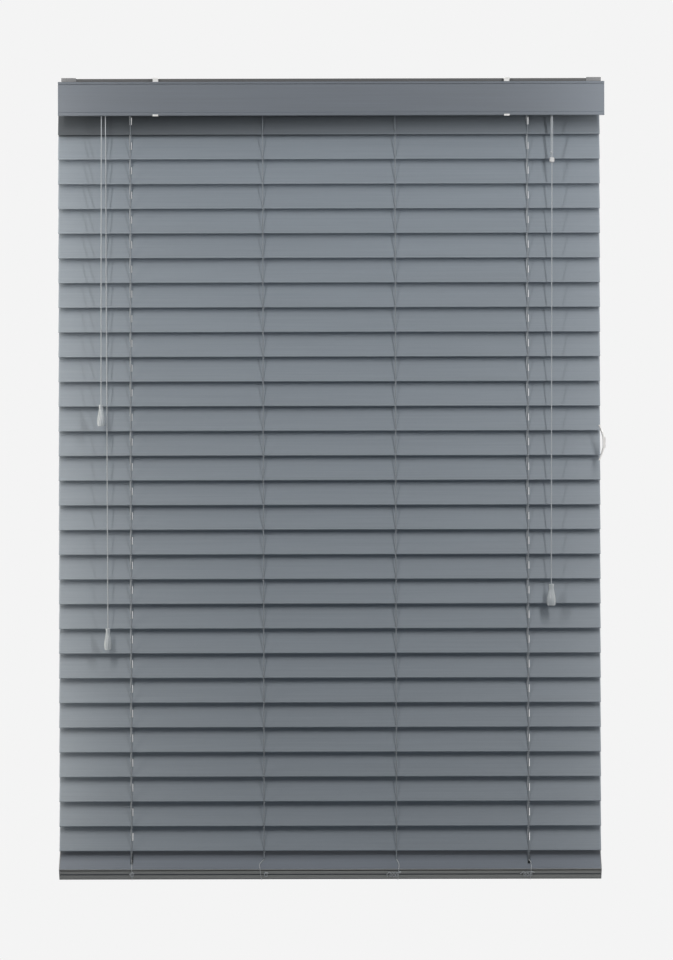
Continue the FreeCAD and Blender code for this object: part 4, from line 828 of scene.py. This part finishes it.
def galvanised(name, colour):
    """Zinc crystals: each Voronoi cell has its own tone and gloss."""
    finish = Finish(name, metallic=1.0)
    where = finish.add("ShaderNodeTexCoord", out="Object")
    cell = finish.add("ShaderNodeTexVoronoi", {"feature": "F1"},
                      {"Vector": where, "Scale": 260.0}, out="Color")
    tone = finish.add("ShaderNodeSeparateColor", {}, {"Color": cell})
    finish.feed("Base Color", finish.mix(tone, *tones(colour, 0.22)))
    finish.feed("Roughness", 0.32 + 0.2 * tone)
    finish.bump(tone, 0.00002)
    return finish.material


# %% Brushed metal
def brushed(name, colour, rough, stretch):
    """Metal with fine scratches along one axis, and a dulled, darker bloom here and there."""
    finish = Finish(name, metallic=1.0)
    scratch, bloom = finish.noise(stretch, 3, 0.6), finish.noise((70, 70, 70))
    finish.feed("Base Color", finish.mix(scratch * 0.6 + bloom * 0.4, *tones(colour, 0.2)))
    finish.feed("Roughness", rough + 0.22 * bloom)
    finish.bump(scratch, 0.00003)
    return finish.material


# The headrail's near-black grey is partly its paint and partly painted shade from the valance.
headrail_finish = baked_paint("headrail_steel", (0.075, 0.077, 0.08), 0.42)
bracket_finish = baked_paint("bracket_steel", (0.20, 0.205, 0.215), 0.36)
rod_finish = galvanised("rod_steel", (0.62, 0.62, 0.62))
lock_finish = brushed("lock_steel", (0.58, 0.58, 0.58), 0.24, (90, 1400, 1400))
pawl_finish = brushed("pawl_brass", (0.72, 0.56, 0.30), 0.22, (1400, 90, 90))

# %% [markdown]
# ## Moulded plastics
# The valance clips, cleat and tassels are glossy mouldings, and the parts inside the headrail are
# duller nylon. A moulding's gloss is never quite even: flow from the gate leaves faint bands, and
# hands leave marks. A thin coat gives the clean highlight on top.

# %% Plastics
def moulded(name, colour, rough, coat, grime):
    """Glossy plastic with faint flow bands, a soft mottle and handling marks in the roughness."""
    finish = Finish(name, coat_weight=coat, coat_roughness=0.12)
    flow, mottle = finish.noise((60, 60, 400)), finish.noise((180, 180, 180), 3)
    base = finish.mix(flow * 0.6 + mottle * 0.4, *tones(colour, 0.06))
    marks = mottle.step(0.52, 0.74)
    finish.feed("Base Color", finish.mix(marks * grime, base, times(colour, 0.72)))
    finish.feed("Roughness", rough + 0.14 * marks)
    finish.bump(mottle, 0.00003)
    return finish.material


clip_finish = moulded("clip_plastic", (0.86, 0.86, 0.85), 0.3, 0.3, 0.25)
nylon_finish = moulded("white_nylon", (0.80, 0.80, 0.77), 0.45, 0.0, 0.3)
tassel_finish = moulded("tassel_plastic", (0.43, 0.475, 0.51), 0.2, 0.6, 0.3)
bead_finish = moulded("connector_plastic", (0.66, 0.67, 0.68), 0.26, 0.5, 0.3)
cleat_finish = moulded("cleat_plastic", (0.80, 0.80, 0.80), 0.3, 0.4, 0.2)

# %% [markdown]
# ## Cord and string
# Polyester cord is matt, with a soft sheen at its edges. Its strands differ a little, and the tone
# follows the braid, darker in its hollows. The UV map runs once round and along the cord in
# metres, so a pattern on it follows every bend.

# %% Textiles
def cord_finish(name, colour, strands, turn):
    """Strand pattern: 0.5 cos(p + q) cos(p - q) + 0.5, where p is u in turns times the strands and
    q is v over the length of a turn, plus fibre noise."""
    finish = Finish(name, sheen_weight=0.3, sheen_roughness=0.5)
    u, v = finish.place("X", "UV"), finish.place("Y", "UV")
    p, q = u * (2 * math.pi * strands), v * (2 * math.pi / turn)
    weave = (p + q).cosine() * (p - q).cosine() * 0.5 + 0.5
    fibre = finish.noise((1800, 1800, 700))
    finish.feed("Base Color", finish.mix(weave * 0.55 + fibre * 0.45, *tones(colour, 0.16)))
    finish.feed("Roughness", 0.78 + 0.14 * fibre)
    finish.bump(weave * 0.5 + fibre * 0.5, 0.00008)
    return finish.material


string_finish = cord_finish("ladder_cord", (0.265, 0.295, 0.328), 1, TWIST_TURN)
# The tails and loops are the ladders' own string, in a lighter copy that is painted light.
lit_tail_finish = cord_finish("ladder_tail_cord_lit", (0.60, 0.63, 0.66), 1, TWIST_TURN)
braid_finish = cord_finish("lift_cord", (0.45, 0.485, 0.52), 2, BRAID_TURN)

# %% [markdown]
# ## Dressing every part
# Each CAD part keeps its shape and gets its finish through its own material slots. New pieces
# have none yet, so theirs is appended.

# %% Finishes on parts
def dress(made, material):
    """One finish in every material slot of an object. A piece with no slot gets one."""
    if not made.data.materials:
        made.data.materials.append(material)
    for k in range(len(made.data.materials)):
        made.data.materials[k] = material


for k in range(SLATS):
    dress(nodes["slat_%02d" % (k + 1)], slat_finish)
for material, names in (
        (board_finish, ("valance",)), (rail_finish, ("bottom_rail",)),
        (cap_finish, ("rail_end_caps",)), (headrail_finish, ("headrail",)),
        (bracket_finish, ("box_bracket_left", "box_bracket_right", "bracket_gates")),
        (clip_finish, ("valance_clips",)), (rod_finish, ("tilt_rod",)),
        (nylon_finish, ("rail_plugs", "tilt_gear", "ladder_drums", "drum_cradles",
                        "worm_and_pulley", "tilter_housing")),
        (lock_finish, ("cord_lock_body",)), (pawl_finish, ("cord_lock_pawl",)),
        (cleat_finish, ("cord_cleat",))):
    for name in names:
        dress(nodes[name], material)

# %% Finishes on new pieces
for material, slot, pieces in (
        (string_finish, "ladder_cord", (front_strings, back_strings, leads, feet, *rungs)),
        (lit_tail_finish, "ladder_cord", (tails, coils, *rail_knots)),
        (braid_finish, "lift_cord", (tilt_short, tilt_long, pull_cord, lift_left, lift_right,
                                     short_knot, long_knot, pull_knot, lift_knot)),
        (tassel_finish, "tassel_plastic", (short_tassel, long_tassel, lift_tassel)),
        (bead_finish, "tassel_plastic", (connector,))):
    for made in pieces:
        dress(made, material)

# %% [markdown]
# ## Light and floor
# A product studio lights a blind with a soft lamp at each side, so that every slat's lower edge
# draws a thin shadow, and with a wide panel above. Two thin, dim strips beside the slats stand for
# light off the walls of a window recess, and a panel behind lights the window side. The room
# beyond is white. The floor is pale and fades into that white at its edge, and it keeps the shadow
# of the blind.

# %% Lamps
def panel(name, place, aim, width, height, power, colour=(1, 1, 1)):
    """A soft rectangular lamp at a place, turned to face its aim. power is in watts."""
    lamp = bpy.data.lights.new(name, "AREA")
    lamp.shape, lamp.size, lamp.size_y = "RECTANGLE", width, height
    lamp.energy, lamp.color = power, colour
    made = bpy.data.objects.new(name, lamp)
    scene.collection.objects.link(made)
    made.location = place
    way = Vector(np.subtract(aim, place))
    made.rotation_euler = way.to_track_quat("-Z", "Y").to_euler()
    made.visible_camera = False
    print("lamp", name, power, "W")


panel("right_lamp", (0.83, -1.5, 0.25), (0, 0, 0.2), 0.10, 1.2, 13.0, (1.0, 0.985, 0.965))
panel("left_lamp", (-0.75, -1.5, 0.25), (0, 0, 0.2), 0.10, 1.2, 9.9, (1.0, 0.975, 0.945))
panel("top_panel", (0.0, -1.3, 1.1), (0, 0, -0.6), 1.8, 0.7, 3.0, (0.92, 0.965, 1.0))
panel("back_panel", (0.2, 1.9, 0.0), (0, 0, -0.6), 1.6, 1.4, 22.0)
panel("left_bounce", (-0.54, -0.09, -0.65), (0, 0, -0.65), 0.06, 1.3, 0.98, (1.0, 0.93, 0.83))
panel("right_bounce", (0.55, -0.09, -0.65), (0, 0, -0.65), 0.06, 1.4, 0.50, (1.0, 0.94, 0.88))

# %% World
WHITE = (0.905, 0.905, 0.905)
world = bpy.data.worlds.new("studio")
scene.world = world
world.use_nodes = True
world.node_tree.nodes.clear()
room = Graph(world.node_tree)
fill = room.add("ShaderNodeBackground", {}, {"Color": (0.84, 0.92, 1.0), "Strength": 0.06})
beyond = room.add("ShaderNodeBackground", {}, {"Color": WHITE, "Strength": 1.0})
seen = room.rays("Camera", "Glossy", "Transmission")
chosen = room.add("ShaderNodeMixShader", {}, {0: seen, 1: fill, 2: beyond})
room.add("ShaderNodeOutputWorld", {}, {"Surface": chosen})
scene.view_settings.view_transform = "Standard"
print("world of", len(world.node_tree.nodes), "nodes")

# %% Floor
FLOOR_Z, HALF = -1.75, 2.35
floor_mesh = bpy.data.meshes.new("floor")
floor_mesh.from_pydata([(-HALF, -HALF, FLOOR_Z), (HALF, -HALF, FLOOR_Z),
                        (HALF, HALF, FLOOR_Z), (-HALF, HALF, FLOOR_Z)], [], [(0, 1, 2, 3)])
floor = bpy.data.objects.new("floor", floor_mesh)
scene.collection.objects.link(floor)
print("floor at", FLOOR_Z, "m, half as wide as", HALF)

# %% The floor's paint, which turns into the white beyond
paint = Finish("floor_paint", base_color=(0.80, 0.80, 0.80), roughness=0.9)
x, y = paint.place("X"), paint.place("Y")
away = ((x * x + y * y) ** 0.5).step(1.3, 2.3)
glow = paint.add("ShaderNodeEmission", {}, {"Color": WHITE, "Strength": 1.0})
matt = Socket(paint, paint.shader.outputs[0])
surface = paint.add("ShaderNodeMixShader", {}, {
    0: (0.5 + 0.5 * away) * paint.rays("Camera"), 1: matt, 2: glow})
paint.join(surface, paint.tree.nodes["Material Output"].inputs["Surface"])
floor_mesh.materials.append(paint.material)
